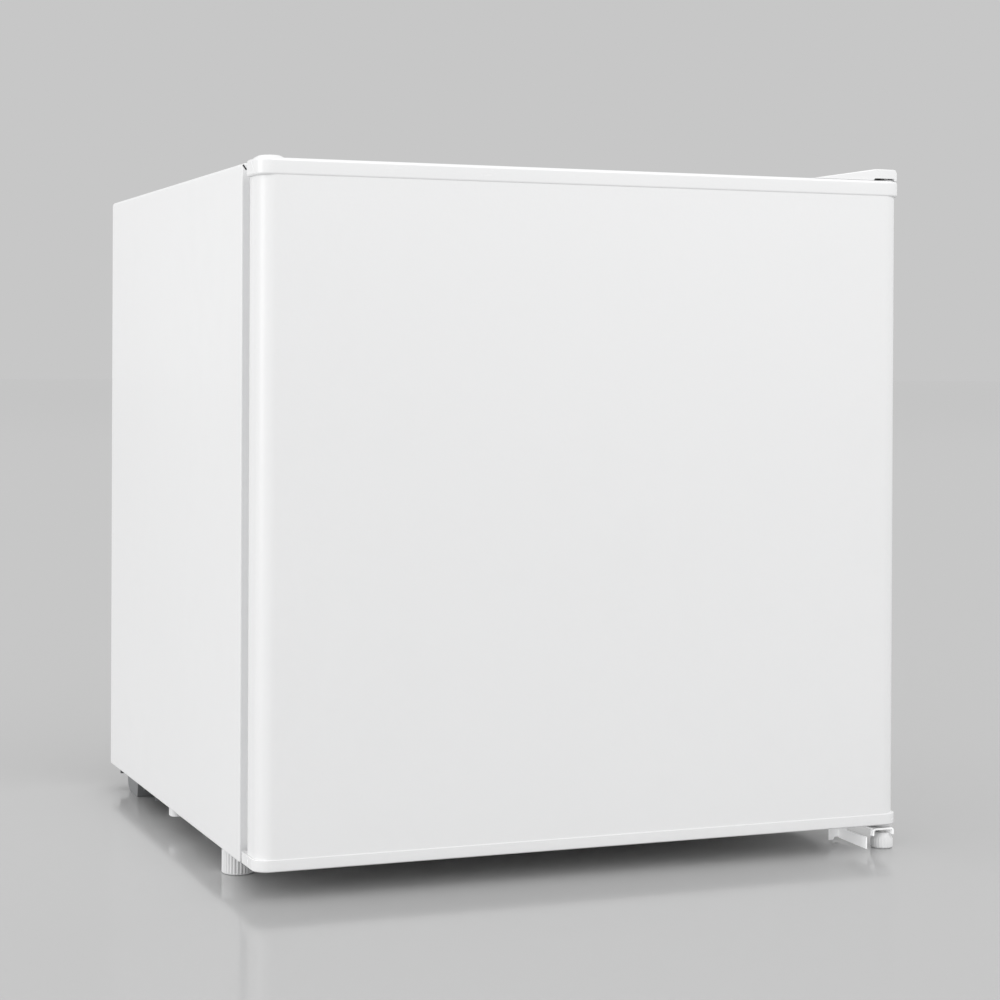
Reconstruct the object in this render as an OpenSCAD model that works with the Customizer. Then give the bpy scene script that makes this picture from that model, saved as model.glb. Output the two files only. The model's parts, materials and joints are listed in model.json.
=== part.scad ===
// Compact cube refrigerator: steel cabinet on four feet, one right-hung door, ice box,
// drip tray, shelf, door racks, and the sealed cooling circuit in a bay at the lower back.
// Millimetres. X right, Y back, Z up; origin on the floor under the middle of the whole object.

/* [Cabinet] */
// Width of the cabinet shell
cab_w = 480; // [472:2:484]
// Depth of the cabinet shell behind the door
cab_d = 410; // [404:2:420]
// Height of the cabinet shell
cab_h = 464; // [460:1:470]
// Height of the cabinet's underside above the floor
cab_z0 = 17.5; // [17.5:0.1:19]
// Thickness of the painted sheet steel
sheet = 0.8; // [0.6:0.1:1]
// Thickness of the insulated side walls
wall_side = 36; // [34:1:38]
// Thickness of the insulated top
wall_top = 36; // [34:1:38]
// Thickness of the insulated floor
wall_floor = 40; // [38:1:42]
// Thickness of the insulated back
wall_back = 42; // [41:1:44]

/* [Door] */
// Depth of the door with its gasket
door_d = 40; // [40:1:42]
// Height of the door
door_h = 464.5; // [462:0.5:466]
// Height of the door's underside above the floor
door_z0 = 18; // [18:0.1:18.5]
// Height of the moulded cap on top of the door
top_cap_h = 11.3; // [11:0.1:12]
// Height of the moulded cap under the door
bottom_cap_h = 8; // [8:0.5:9]
// How far the caps stand out past the door's sides
cap_lip_side = 2; // [1.5:0.1:2]
// How far the caps stand out past the door's front
cap_lip_front = 1.5; // [1.2:0.1:1.8]
// Radius of the door's front upright corners
door_corner_r = 8.5; // [7:0.5:9]

/* [Hinges] */
// Distance of the hinge axis from the right side
axis_side = 8; // [8:0.5:9]
// Distance of the hinge axis from the door's front
axis_front = 11; // [11:0.5:13]
// Radius of the upper hinge pin
top_pin_r = 3; // [2.8:0.1:3]
// Radius of the lower hinge pin
low_pin_r = 4; // [4:0.05:4.05]
// Running clearance of a pin in its bush, on the radius
pin_gap = 0.05; // [0.03:0.01:0.08]

/* [Ice box] */
// Width of the ice box
ice_w = 256; // [240:2:256]
// Height of the ice box
ice_h = 100; // [90:2:100]
// Depth of the ice box
ice_d = 230; // [200:5:230]

/* [Feet] */
// Radius of the left front foot
foot_r = 11.5; // [11:0.5:12]
// Radius of the right front foot under the hinge
hinge_foot_r = 8; // [7.5:0.5:8]

/* [Hidden] */
$fn = 48;

white = "#F2F3F4";
liner_white = "#EDF0F2";
grey = "#8E9296";
steel = "#A9ADB0";
dark = "#2B2D30";
copper = "#B87350";
foam_yellow = "#E2CF93";

// Cabinet shell
side_x = cab_w / 2;
y_front = -(door_d + cab_d) / 2;
cab_y0 = y_front + door_d;
cab_y1 = cab_y0 + cab_d;
cab_z1 = cab_z0 + cab_h;
fold_r = 3;
front_fold = 16;
rear_fold = 12;
back_y = cab_y1 - 5;
inner_x = side_x - sheet;
floor_z = cab_z0 + 2 * sheet;

// Cold compartment
cav_x = side_x - wall_side;
cav_y1 = cab_y1 - wall_back;
cav_z0 = cab_z0 + wall_floor;
cav_z1 = cab_z1 - wall_top;
cav_r = 10;
liner_t = 1.6;
liner_y0 = cab_y0 + sheet;
bay_y = cab_y1 - 150;
bay_z = cab_z0 + 164.5;
step_y = bay_y - 35;
step_z = bay_z + 35;
ledge_z = step_z + 7;

// Ice box and tray
ice_x0 = -cav_x + 16;
ice_x1 = ice_x0 + ice_w;
ice_y0 = cab_y0 + 125;
ice_y1 = ice_y0 + ice_d;
ice_z1 = cav_z1 - 9.5;
ice_z0 = ice_z1 - ice_h;
flap_y = ice_y0 - 10.5;
flap_z = ice_z1 - 4;
flap_pin_r = 2;
rail_z = ice_z0 - 25.5;

// Thermostat
stat_x = 135;
stat_y = cab_y0 + 155;
stat_z = cav_z1 - 21.5;
shaft_r = 3;

// Door
door_x = side_x - cap_lip_side;
skin_y = y_front + cap_lip_front;
skin_back = cab_y0 - 13;
cap_back = cab_y0 - 3;
door_z1 = door_z0 + door_h;
cap_t = 2.8;
skin_z0 = door_z0 + 2.3;
skin_z1 = door_z1 - cap_t;
panel_z0 = door_z0 + bottom_cap_h + 0.2;
panel_z1 = door_z1 - top_cap_h - 0.2;
panel_back = skin_back + 1.8;
gasket_x = side_x - 6;
gasket_w = 24;
gasket_back = cab_y0 - 0.3;
ridge_x = cav_x - 8;
ridge_w = 20;
ridge_z0 = cav_z0 + 8.5;
ridge_z1 = cav_z1 - 8.5;
ridge_back = cab_y0 + 13;
rack_x = ridge_x - ridge_w;

// Hinges and feet
axis_x = side_x - axis_side;
axis_y = y_front + axis_front;
tongue_z1 = cab_z0 - 2;
tongue_z0 = tongue_z1 - 2.5;
arm_z0 = cab_z1 + 4.7;
arm_z1 = arm_z0 + 2;
top_screws = [[axis_x - 20, cab_y0 + 22], [axis_x - 12, cab_y0 + 10], [axis_x - 3, cab_y0 + 22]];
low_screws = [[axis_x - 28, cab_y0 + 15], [axis_x - 28, cab_y0 + 45], [axis_x - 14, cab_y0 + 45]];
foot_x = -side_x + 13;
foot_y = cab_y0 + 50;
foot_stud_r = 4;
foot_socket_z = 5;
hinge_stud_r = 3;
rear_foot_x = side_x - 20;
rear_foot_y = cab_y1 - 53;

// Machine bay
comp_x = 70;
comp_y = bay_y + 73;
comp_r = 56;
mount_dx = 80;
mount_dy = 40;
pan_z = cab_z0 - 2;
gland_x = -side_x + 56;
gland_z = cab_z0 + 21;
gland_bore_r = 3.6;
tab_y = cab_y1 - 11;
coil_r = 2.4;
coil_x = inner_x - coil_r;
coil_y1 = cab_y1 - 35;
coil_runs = 6;
coil_pitch = 40;
coil_z0 = bay_z + 58;
drier_z = cab_z0 + 132;
drier_x = -105;

back_holes = concat(
    [for (s = [-1, 1], z = [bay_z + 20, (bay_z + cab_z1) / 2, cab_z1 - 20])
        [s * (side_x - 7), z]],
    [for (s = [-1, 0, 1]) [s * 150, bay_z + 9]]
);

// ---------- helpers ----------

function arc(cx, cy, r, a0, a1, n = 6) =
    [for (i = [0:n]) let (a = a0 + (a1 - a0) * i / n) [cx + r * cos(a), cy + r * sin(a)]];

// Rectangle with one radius at its low-y corners and another at its high-y corners
function round_rect(x0, y0, x1, y1, r_low, r_high) = concat(
    arc(x1 - r_high, y1 - r_high, r_high, 0, 90),
    arc(x0 + r_high, y1 - r_high, r_high, 90, 180),
    arc(x0 + r_low, y0 + r_low, r_low, 180, 270),
    arc(x1 - r_low, y0 + r_low, r_low, 270, 360)
);

// Outline of the shell seen from the front, with the two folds along its top edges
function hood(inset, z_low) = concat(
    [[side_x - inset, z_low]],
    arc(side_x - fold_r, cab_z1 - fold_r, fold_r - inset, 0, 90),
    arc(fold_r - side_x, cab_z1 - fold_r, fold_r - inset, 90, 180),
    [[inset - side_x, z_low]]
);

// Outline of the compartment seen from the side, with the step over the machine bay
function cavity(t, y0) = concat(
    [[y0, cav_z0 - t]],
    arc(step_y - cav_r, cav_z0 + cav_r, cav_r + t, 270, 360),
    arc(step_y + cav_r, step_z - cav_r, cav_r - t, 180, 90),
    arc(cav_y1 - cav_r, step_z + cav_r, cav_r + t, 270, 360),
    arc(cav_y1 - cav_r, cav_z1 - cav_r, cav_r + t, 0, 90),
    [[y0, cav_z1 + t]]
);

module along_x(x0, x1) {
    translate([x0, 0, 0]) rotate([90, 0, 90]) linear_extrude(x1 - x0) children();
}

module along_y(y0, y1) {
    translate([0, y1, 0]) rotate([90, 0, 0]) linear_extrude(y1 - y0) children();
}

module along_z(z0, z1) {
    translate([0, 0, z0]) linear_extrude(z1 - z0) children();
}

module block(low, high) {
    translate(low) cube(high - low);
}

module rod_x(x0, x1, y, z, r) {
    translate([x0, y, z]) rotate([0, 90, 0]) cylinder(h = x1 - x0, r = r);
}

module rod_y(y0, y1, x, z, r) {
    translate([x, y1, z]) rotate([90, 0, 0]) cylinder(h = y1 - y0, r = r);
}

module rod_z(z0, z1, x, y, r) {
    translate([x, y, z0]) cylinder(h = z1 - z0, r = r);
}

module both_sides() {
    children();
    mirror([1, 0, 0]) children();
}

// A straight stretch of pipe along the local Z, with whatever follows it as its child
module run(length, r) {
    cylinder(h = length, r = r);
    translate([0, 0, length]) children();
}

// A quarter bend of pipe towards the local X after a roll, with what follows as its child
module turn(bend, r, roll) {
    rotate([0, 0, roll]) {
        translate([bend, 0, 0]) rotate([90, 0, 0]) rotate([0, 0, 90])
            rotate_extrude(angle = 90) translate([bend, 0]) circle(r);
        translate([bend, 0, bend]) rotate([0, 90, 0]) children();
    }
}

// ---------- cabinet ----------

module wrapper_sheet() {
    along_y(cab_y0, cab_y1) difference() {
        polygon(hood(0, cab_z0));
        polygon(hood(sheet, cab_z0 - 1));
    }
    along_y(cab_y0, cab_y0 + sheet) difference() {
        polygon(hood(0, cab_z0));
        polygon(round_rect(front_fold - side_x, cab_z0 - 1, side_x - front_fold,
                           cab_z1 - front_fold, 0.5, 2));
    }
    along_y(back_y, back_y + sheet) difference() {
        polygon(hood(0, bay_z));
        translate([rear_fold - side_x, bay_z - 1])
            square([cab_w - 2 * rear_fold, cab_h - 164.5 - rear_fold + 1]);
    }
    both_sides() block([side_x - 12, cab_y0, cab_z0], [side_x, cab_y1 - 2, cab_z0 + sheet]);
}

module cabinet_wrapper() {
    color(white) difference() {
        wrapper_sheet();
        for (p = back_holes) rod_y(back_y - 1, back_y + 2, p.x, p.y, 1.9);
        for (p = top_screws) rod_z(cab_z1 - 5, cab_z1 + 1, p.x, p.y, 2.6);
        rod_z(cab_z0 - 1, cab_z0 + 2, foot_x, foot_y, foot_stud_r + 1);
    }
}

module back_panel() {
    color(white) difference() {
        union() {
            block([2 - side_x, back_y + sheet, bay_z + 1], [side_x - 2, back_y + 2 * sheet, cab_z1 - 2]);
            for (i = [0:4])
                block([-170, back_y + 2 * sheet, bay_z + 50 + i * 48],
                      [170, back_y + 2 * sheet + 1.2, bay_z + 58 + i * 48]);
        }
        for (p = back_holes) rod_y(back_y, back_y + 4, p.x, p.y, 1.9);
    }
}

module base_plate() {
    color(white) difference() {
        union() {
            block([-inner_x, liner_y0, cab_z0 + sheet], [inner_x, bay_y, floor_z]);
            block([front_fold - side_x, cab_y0, cab_z0], [side_x - front_fold, liner_y0, cab_z0 + 18]);
        }
        rod_z(cab_z0, cab_z0 + 3, foot_x, foot_y, foot_stud_r + 1);
        for (p = low_screws) rod_z(cab_z0, cab_z0 + 3, p.x, p.y, 2.6);
        for (p = plug_spots()) rod_z(cab_z0, cab_z0 + 3, p.x, p.y, 5);
    }
}

module bay_panel() {
    color(steel) difference() {
        union() {
            block([-inner_x, bay_y, cab_z0 + sheet], [inner_x, bay_y + sheet, bay_z]);
            block([-inner_x, bay_y, bay_z - sheet], [inner_x, back_y, bay_z]);
            block([rear_fold - side_x + 0.5, back_y - 0.5, bay_z - sheet],
                  [side_x - rear_fold - 0.5, back_y + sheet, bay_z + 15]);
        }
        for (p = back_holes) rod_y(back_y - 2, back_y + 2, p.x, p.y, 1.9);
        both_sides() rod_z(bay_z - 2, bay_z + 1, coil_x, coil_y1, coil_r + 0.1);
        rod_z(bay_z - 2, bay_z + 1, suction_x(), suction_y(), 5);
        rod_z(bay_z - 2, bay_z + 1, capillary_x(), capillary_y(), 3);
    }
}

module cabinet_foam() {
    color(foam_yellow) difference() {
        along_y(liner_y0 + liner_t, back_y) polygon(hood(sheet, floor_z));
        along_x(-cav_x - liner_t, cav_x + liner_t) polygon(cavity(liner_t, cab_y0 - 1));
        block([-side_x, bay_y, cab_z0 - 1], [side_x, cab_y1 + 1, bay_z]);
        block([rear_fold - side_x, back_y - 0.5, bay_z - 1], [side_x - rear_fold, cab_y1, bay_z + 15]);
        block([foot_x - 12, foot_y - 12, cab_z0], [foot_x + 12, foot_y + 12, floor_z + 6]);
        rod_z(floor_z, floor_z + 34, foot_x, foot_y, foot_stud_r + 1);
        for (p = top_screws) rod_z(cab_z1 - 17, cab_z1, p.x, p.y, 2.6);
        for (p = low_screws) rod_z(cab_z0, cab_z0 + 17, p.x, p.y, 2.6);
        for (p = plug_spots()) rod_z(cab_z0, cab_z0 + 9, p.x, p.y, 5);
    }
}

module inner_liner() {
    color(liner_white) difference() {
        union() {
            along_x(-cav_x - liner_t, cav_x + liner_t) polygon(cavity(liner_t, liner_y0));
            block([10 - side_x, liner_y0, cab_z0 + 6], [side_x - 10, liner_y0 + liner_t, cab_z1 - 6]);
        }
        difference() {
            along_x(-cav_x, cav_x) polygon(cavity(0, cab_y0 - 1));
            both_sides() {
                block([cav_x - 7, cab_y0 + 35, ledge_z - 5], [cav_x + 1, cav_y1 + 1, ledge_z]);
                block([cav_x - 7, cab_y0 + 35, ledge_z - 89], [cav_x + 1, step_y + 1, ledge_z - 84]);
            }
        }
        rod_y(cav_y1 - 1, cav_y1 + 3, suction_end_x(), suction_end_z(), 4);
        rod_y(cav_y1 - 1, cav_y1 + 3, capillary_x(), capillary_end_z(), 2);
    }
}

// ---------- cooling circuit ----------

function suction_x() = comp_x + comp_r - 4 + 18 + 12;
function suction_y() = cav_y1 + 19;
function suction_end_x() = ice_x1 - 100;
function suction_end_z() = ice_z1 - 25;
function capillary_x() = drier_x + 45 + 10 + 8;
function capillary_y() = coil_y1;
function capillary_end_z() = ice_z1 - 45;

module condenser_side() {
    for (i = [0:coil_runs - 1])
        rod_y(cab_y0 + 55, coil_y1 - 20, coil_x, coil_z0 + i * coil_pitch, coil_r);
    for (i = [0:coil_runs - 2]) {
        z = coil_z0 + (i + 0.5) * coil_pitch;
        if (i % 2 == 0)
            translate([coil_x, cab_y0 + 55, z]) rotate([90, 0, 90]) rotate([0, 0, 90])
                rotate_extrude(angle = 180) translate([coil_pitch / 2, 0]) circle(coil_r);
        else
            translate([coil_x, coil_y1 - 20, z]) rotate([90, 0, 90]) rotate([0, 0, -90])
                rotate_extrude(angle = 180) translate([coil_pitch / 2, 0]) circle(coil_r);
    }
    translate([coil_x, coil_y1 - 20, coil_z0]) rotate([-90, 0, 0])
        turn(20, coil_r, 90) run(coil_z0 - 20 - bay_z + 12, coil_r);
}

module condenser_coil() {
    last_z = coil_z0 + (coil_runs - 1) * coil_pitch;
    top_z = cab_z1 - sheet - coil_r;
    rise = top_z - last_z;
    color(steel) {
        both_sides() condenser_side();
        both_sides()
            translate([coil_x, coil_y1 - 20, last_z]) rotate([-90, 0, 0])
                turn(9, coil_r, -90) run(rise - 9 - 6, coil_r) turn(6, coil_r, -90)
                    run(coil_x - 6, coil_r);
        translate([-coil_x, coil_y1, bay_z - 12]) rotate([180, 0, 0])
            run(bay_z - 22 - drier_z, coil_r) turn(10, coil_r, 0)
                run(coil_x + drier_x - 55, coil_r);
    }
}

module ice_box() {
    wall = 1.5;
    color(steel) difference() {
        union() {
            block([ice_x0, ice_y0, ice_z0], [ice_x1, ice_y1, ice_z1]);
            for (i = [0:3])
                block([ice_x0 + 30 + i * 60, ice_y0 + 12, ice_z0 - 1],
                      [ice_x0 + 38 + i * 60, ice_y1 - 12, ice_z0 + 1]);
            for (i = [0:2])
                block([ice_x1 - 1, ice_y0 + 12, ice_z0 + 22 + i * 26],
                      [ice_x1 + 1, ice_y1 - 12, ice_z0 + 30 + i * 26]);
        }
        block([ice_x0 + wall, ice_y0 - 1, ice_z0 + wall], [ice_x1 - wall, ice_y1 - wall, ice_z1 - wall]);
    }
}

module ice_box_frame() {
    color(liner_white) difference() {
        union() {
            block([ice_x0 - 4, ice_y0 - 6, ice_z0 - 6], [ice_x1 + 4, ice_y0, ice_z1 + 4]);
            for (x = [ice_x0 - 4, ice_x1 + 1])
                block([x, flap_y - 5, flap_z - 8], [x + 3, ice_y0 - 5, flap_z + 8]);
        }
        block([ice_x0 + 6, ice_y0 - 20, ice_z0 + 4], [ice_x1 - 6, ice_y0 + 1, ice_z1 - 8]);
        rod_x(ice_x0 - 5, ice_x1 + 5, flap_y, flap_z, flap_pin_r + pin_gap);
    }
}

module ice_box_clips() {
    color(liner_white)
        for (x = [ice_x0 + 24, ice_x1 - 24], y = [ice_y0 + 24, ice_y1 - 24])
            block([x - 8, y - 8, ice_z1], [x + 8, y + 8, cav_z1]);
}

module ice_box_flap() {
    gap = 0.5;
    low_z = ice_z0 + 1;
    color("#DCE8EE") {
        rod_x(ice_x0 - 4, ice_x1 + 4, flap_y, flap_z, flap_pin_r);
        rod_x(ice_x0 - 1 + gap, ice_x1 + 1 - gap, flap_y, flap_z, 4);
        block([ice_x0 - 1 + gap, flap_y - 1, low_z], [ice_x1 + 1 - gap, flap_y + 2, flap_z]);
        block([(ice_x0 + ice_x1) / 2 - 30, flap_y - 8, low_z], [(ice_x0 + ice_x1) / 2 + 30, flap_y, low_z + 3]);
    }
}

module tray_rails() {
    color(liner_white)
        for (s = [0, 1]) translate([s * (ice_x0 + ice_x1), 0, 0]) mirror([s, 0, 0]) {
            block([ice_x0, ice_y0, rail_z], [ice_x0 + 2, ice_y1, ice_z0]);
            block([ice_x0, ice_y0, rail_z], [ice_x0 + 8, ice_y1, rail_z + 2]);
        }
}

module drip_tray() {
    rim_z = rail_z + 2.5;
    tray_z = rail_z - 12;
    color("#E4ECF0") difference() {
        union() {
            block([ice_x0 + 2.5, ice_y0 + 1, rim_z], [ice_x1 - 2.5, ice_y1 - 5, rim_z + 2]);
            block([ice_x0 + 8.5, ice_y0 - 2, tray_z], [ice_x1 - 8.5, ice_y1 - 5, rim_z + 1]);
            block([ice_x0 - 2, ice_y0 - 4, tray_z - 2], [ice_x1 + 2, ice_y0 - 1, ice_z0 - 8]);
            block([ice_x0 + 8.5, ice_y0 - 2, tray_z], [ice_x1 - 8.5, ice_y0 + 2, rim_z + 2]);
        }
        block([ice_x0 + 10.5, ice_y0 + 1, tray_z + 2], [ice_x1 - 10.5, ice_y1 - 7, ice_z0]);
    }
}

module thermostat_housing() {
    color(liner_white) difference() {
        block([stat_x - 35, stat_y, cav_z1 - 38], [stat_x + 35, stat_y + 120, cav_z1]);
        block([stat_x - 33, stat_y + 2, cav_z1 - 36], [stat_x + 33, stat_y + 118, cav_z1 + 1]);
        rod_y(stat_y - 1, stat_y + 3, stat_x, stat_z, shaft_r + pin_gap);
        rod_x(stat_x - 40, stat_x - 30, stat_y + 60, stat_z, 1.2);
    }
}

module thermostat_control() {
    color(steel) difference() {
        union() {
            block([stat_x - 20, stat_y + 12, cav_z1 - 34], [stat_x + 20, stat_y + 70, cav_z1]);
            rod_y(stat_y + 2, stat_y + 13, stat_x, stat_z, 6);
        }
        rod_y(stat_y, stat_y + 16, stat_x, stat_z, shaft_r + pin_gap);
    }
}

module thermostat_knob() {
    color(grey) {
        rod_y(stat_y - 8, stat_y - 0.4, stat_x, stat_z, 17);
        rod_y(stat_y - 1, stat_y + 14, stat_x, stat_z, shaft_r);
        block([stat_x - 4, stat_y - 18, stat_z - 15], [stat_x + 4, stat_y - 7, stat_z + 15]);
    }
}

module sensing_tube() {
    r = 1;
    color(copper)
        translate([stat_x - 20, stat_y + 60, stat_z]) rotate([0, -90, 0])
            run(stat_x - 20 - ice_x1 - 8.5, r) turn(6, r, 90) run(60, r);
}

module wire_shelf() {
    z = ledge_z + 2.6;
    x1 = cav_x - 3.5;
    y0 = cab_y0 + 90;
    y1 = cav_y1 - 6;
    wires = 14;
    color(steel) {
        both_sides() rod_y(y0 - 3, y1 + 3, x1, z, 2.5);
        for (y = [y0, y1]) rod_x(-x1, x1, y, z, 2.2);
        for (i = [1:wires])
            rod_y(y0, y1, -x1 + i * 2 * x1 / (wires + 1), z, 1.5);
    }
}

module compressor_shell() {
    translate([comp_x, comp_y, 0]) rotate_extrude() polygon(concat(
        [[0, cab_z0 + 18]],
        arc(comp_r - 18, cab_z0 + 36, 18, 270, 360),
        [[comp_r, cab_z0 + 78], [comp_r + 2, cab_z0 + 79], [comp_r + 2, cab_z0 + 83], [comp_r, cab_z0 + 84]],
        arc(comp_r - 26, cab_z0 + 115, 26, 0, 90),
        [[0, cab_z0 + 141]]
    ));
}

function bolt_spots() =
    [for (sx = [-1, 1], sy = [-1, 1]) [comp_x + sx * mount_dx, comp_y + sy * mount_dy]];

module compressor() {
    color(dark) difference() {
        union() {
            compressor_shell();
            for (s = [-1, 1])
                block([comp_x + s * 57 - 33, comp_y - 50, cab_z0 + 14],
                      [comp_x + s * 57 + 33, comp_y + 50, cab_z0 + 18.5]);
        }
        for (p = bolt_spots()) rod_z(cab_z0 + 10, cab_z0 + 20, p.x, p.y, 4.5);
    }
}

module compressor_base() {
    color(grey) difference() {
        union() {
            block([4 - side_x, bay_y + 10, pan_z], [side_x - 4, tab_y + 2, cab_z0]);
            for (y = [bay_y + 10, tab_y])
                block([6 - side_x, y, pan_z - 5], [side_x - 6, y + 2, cab_z0]);
            block([gland_x - 20, tab_y, pan_z], [gland_x + 20, tab_y + 2, gland_z + 18]);
        }
        for (p = bolt_spots()) rod_z(pan_z - 1, cab_z0 + 1, p.x, p.y, 4.1);
        rod_y(tab_y - 1, tab_y + 3, gland_x, gland_z, 8);
    }
}

module grommets() {
    color("#3A3C3F")
        for (p = bolt_spots()) difference() {
            rod_z(cab_z0, cab_z0 + 14, p.x, p.y, 9);
            rod_z(cab_z0 - 1, cab_z0 + 15, p.x, p.y, 4.1);
        }
}

module compressor_bolts() {
    color(steel)
        for (p = bolt_spots()) {
            rod_z(pan_z - 4, cab_z0 + 20, p.x, p.y, 4);
            rod_z(cab_z0 + 18.5, cab_z0 + 20, p.x, p.y, 9);
            translate([p.x, p.y, cab_z0 + 20]) cylinder(h = 5, r = 6.5, $fn = 6);
        }
}

module relay_cover() {
    color(dark) {
        block([comp_x - comp_r - 36, comp_y - 24, cab_z0 + 50], [comp_x - comp_r - 2, comp_y + 24, cab_z0 + 104]);
        block([comp_x - comp_r - 2, comp_y - 8, cab_z0 + 60], [comp_x - comp_r, comp_y + 8, cab_z0 + 76]);
    }
}

module filter_drier() {
    color(copper) {
        rod_x(drier_x - 35, drier_x + 35, capillary_y(), drier_z, 9);
        rod_x(drier_x - 45, drier_x + 45, capillary_y(), drier_z, 4);
    }
}

module capillary_tube() {
    r = 1.2;
    up = capillary_end_z() - drier_z - 16;
    color(copper)
        translate([drier_x + 45, capillary_y(), drier_z]) rotate([0, 90, 0])
            run(10, r) turn(8, r, 180) run(up, r) turn(8, r, 90) run(capillary_y() - 8 - ice_y1, r);
}

module suction_line() {
    r = 3;
    start_z = cab_z0 + 100;
    up = suction_end_z() - start_z - 24;
    across = suction_x() - suction_end_x() - 24;
    color(copper)
        translate([comp_x + comp_r - 4, comp_y, start_z]) rotate([0, 90, 0])
            run(18, r) turn(12, r, 90) run(suction_y() - comp_y - 24, r) turn(12, r, 90)
                run(up, r) turn(12, r, -90) run(across, r) turn(12, r, 90)
                    run(suction_y() - 12 - ice_y1, r);
}

module discharge_line() {
    start_z = cab_z0 + 60;
    color(copper)
        translate([comp_x + comp_r - 4, comp_y, start_z]) rotate([0, 90, 0])
            run(60, coil_r) turn(10, coil_r, 90) run(coil_y1 - comp_y - 20, coil_r)
                turn(10, coil_r, 180) run(coil_x - comp_x - comp_r + 4 - 60 - 30, coil_r)
                    turn(10, coil_r, -90) run(bay_z - 12 - start_z - 10, coil_r);
}

module process_tube() {
    color(copper) {
        rod_z(cab_z0 + 136, cab_z0 + 155, comp_x, comp_y - 24, 3);
        block([comp_x - 4, comp_y - 25, cab_z0 + 154], [comp_x + 4, comp_y - 23, cab_z0 + 160]);
    }
}

module wiring_loom() {
    r = 2.5;
    relay_x = comp_x - comp_r - 36;
    rise = cab_z0 + 77 - gland_z;
    color(dark)
        translate([gland_x, tab_y - 24, gland_z]) rotate([90, 0, 0])
            run(tab_y - 24 - comp_y - 12, r) turn(12, r, 0) run(relay_x - gland_x - 48, r)
                turn(12, r, 90) run(rise - 24, r) turn(12, r, 180) run(12, r);
}

module cable_gland() {
    color("#D9DCDE") difference() {
        union() {
            rod_y(tab_y + 2, tab_y + 6, gland_x, gland_z, 12);
            rod_y(tab_y - 6, tab_y + 3, gland_x, gland_z, 7.9);
        }
        rod_y(tab_y - 7, tab_y + 7, gland_x, gland_z, gland_bore_r);
    }
}

module back_screws() {
    color(steel)
        for (p = back_holes) {
            rod_y(back_y + 2 * sheet, back_y + 2 * sheet + 2, p.x, p.y, 4);
            rod_y(back_y - (abs(p.x) > 200 ? 0 : 0.4), back_y + 2 * sheet + 1, p.x, p.y, 1.8);
        }
}

function plug_spots() = [[16 - side_x, cab_y0 + 205], [side_x - 16, cab_y0 + 205]];

// Head of a foam plug, from just inside the side sheet to past its hole
function plug_head(side, y) = let (x = side * (side_x - 11.75))
    round_rect(x - 10.25, y - 7, x + 10.25, y + 7, 5, 5);

module foam_plugs() {
    color(white)
        for (p = plug_spots()) {
            rod_z(cab_z0 - 6, cab_z0 + 8, p.x, p.y, 3.9);
            along_z(cab_z0 - 6, cab_z0 - 0.1) polygon(plug_head(sign(p.x), p.y));
        }
}

module rating_plate() {
    color("#DDE0E2")
        block([-45, back_y + 2 * sheet, cab_z1 - 48], [45, back_y + 2 * sheet + 0.4, cab_z1 - 6]);
}

// ---------- hinges and feet ----------

module upper_hinge_plate() {
    color(white) difference() {
        union() {
            block([axis_x - 28, cab_y0 + 3, cab_z1], [axis_x + 4, cab_y0 + 29, cab_z1 + 2]);
            block([axis_x - 20, cab_y0 + 1, cab_z1], [axis_x + 4, cab_y0 + 3, arm_z1]);
            along_z(arm_z0, arm_z1)
                polygon(round_rect(axis_x - 14, axis_y - 7, axis_x + 5, cab_y0 + 3, 4, 0.5));
        }
        for (p = top_screws) rod_z(cab_z1 - 1, cab_z1 + 3, p.x, p.y, 2.6);
        rod_z(arm_z0 - 1, arm_z1 + 1, axis_x, axis_y, top_pin_r);
    }
}

module upper_hinge_pin() {
    color(steel) {
        rod_z(door_z1 - 16, arm_z1, axis_x, axis_y, top_pin_r);
        rod_z(arm_z1, arm_z1 + 1.5, axis_x, axis_y, 5);
    }
}

// Outline of the hinge cover seen from the front: a long ramp up to a short flat top
function cover_outline(t) = [
    [axis_x - 54 + 3 * t, cab_z1 - (t > 0 ? 1 : 0)],
    [axis_x - 54 + 3 * t, cab_z1 + 2.2 - t],
    [axis_x - 10 + t / 2, cab_z1 + 10.1 - t],
    [axis_x - 7, cab_z1 + 10.5 - t],
    [axis_x + 5.5 - t, cab_z1 + 10.5 - t],
    [axis_x + 7 - t, cab_z1 + 9 - t],
    [axis_x + 7 - t, cab_z1 - (t > 0 ? 1 : 0)]
];

module hinge_cover() {
    wall = 1.4;
    front_y = y_front + 2;
    over_door = cab_y0 - 0.5;
    color(white) difference() {
        along_y(front_y, cab_y0 + 36) polygon(cover_outline(0));
        along_y(front_y + wall, cab_y0 + 36 - wall) polygon(cover_outline(wall));
        block([axis_x - 60, y_front, cab_z1 - 1], [axis_x + 10, over_door, door_z1 + 0.5]);
        block([axis_x - 10, y_front, cab_z1 - 1], [axis_x + 10, over_door, door_z1 + 3.2]);
    }
}

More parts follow.
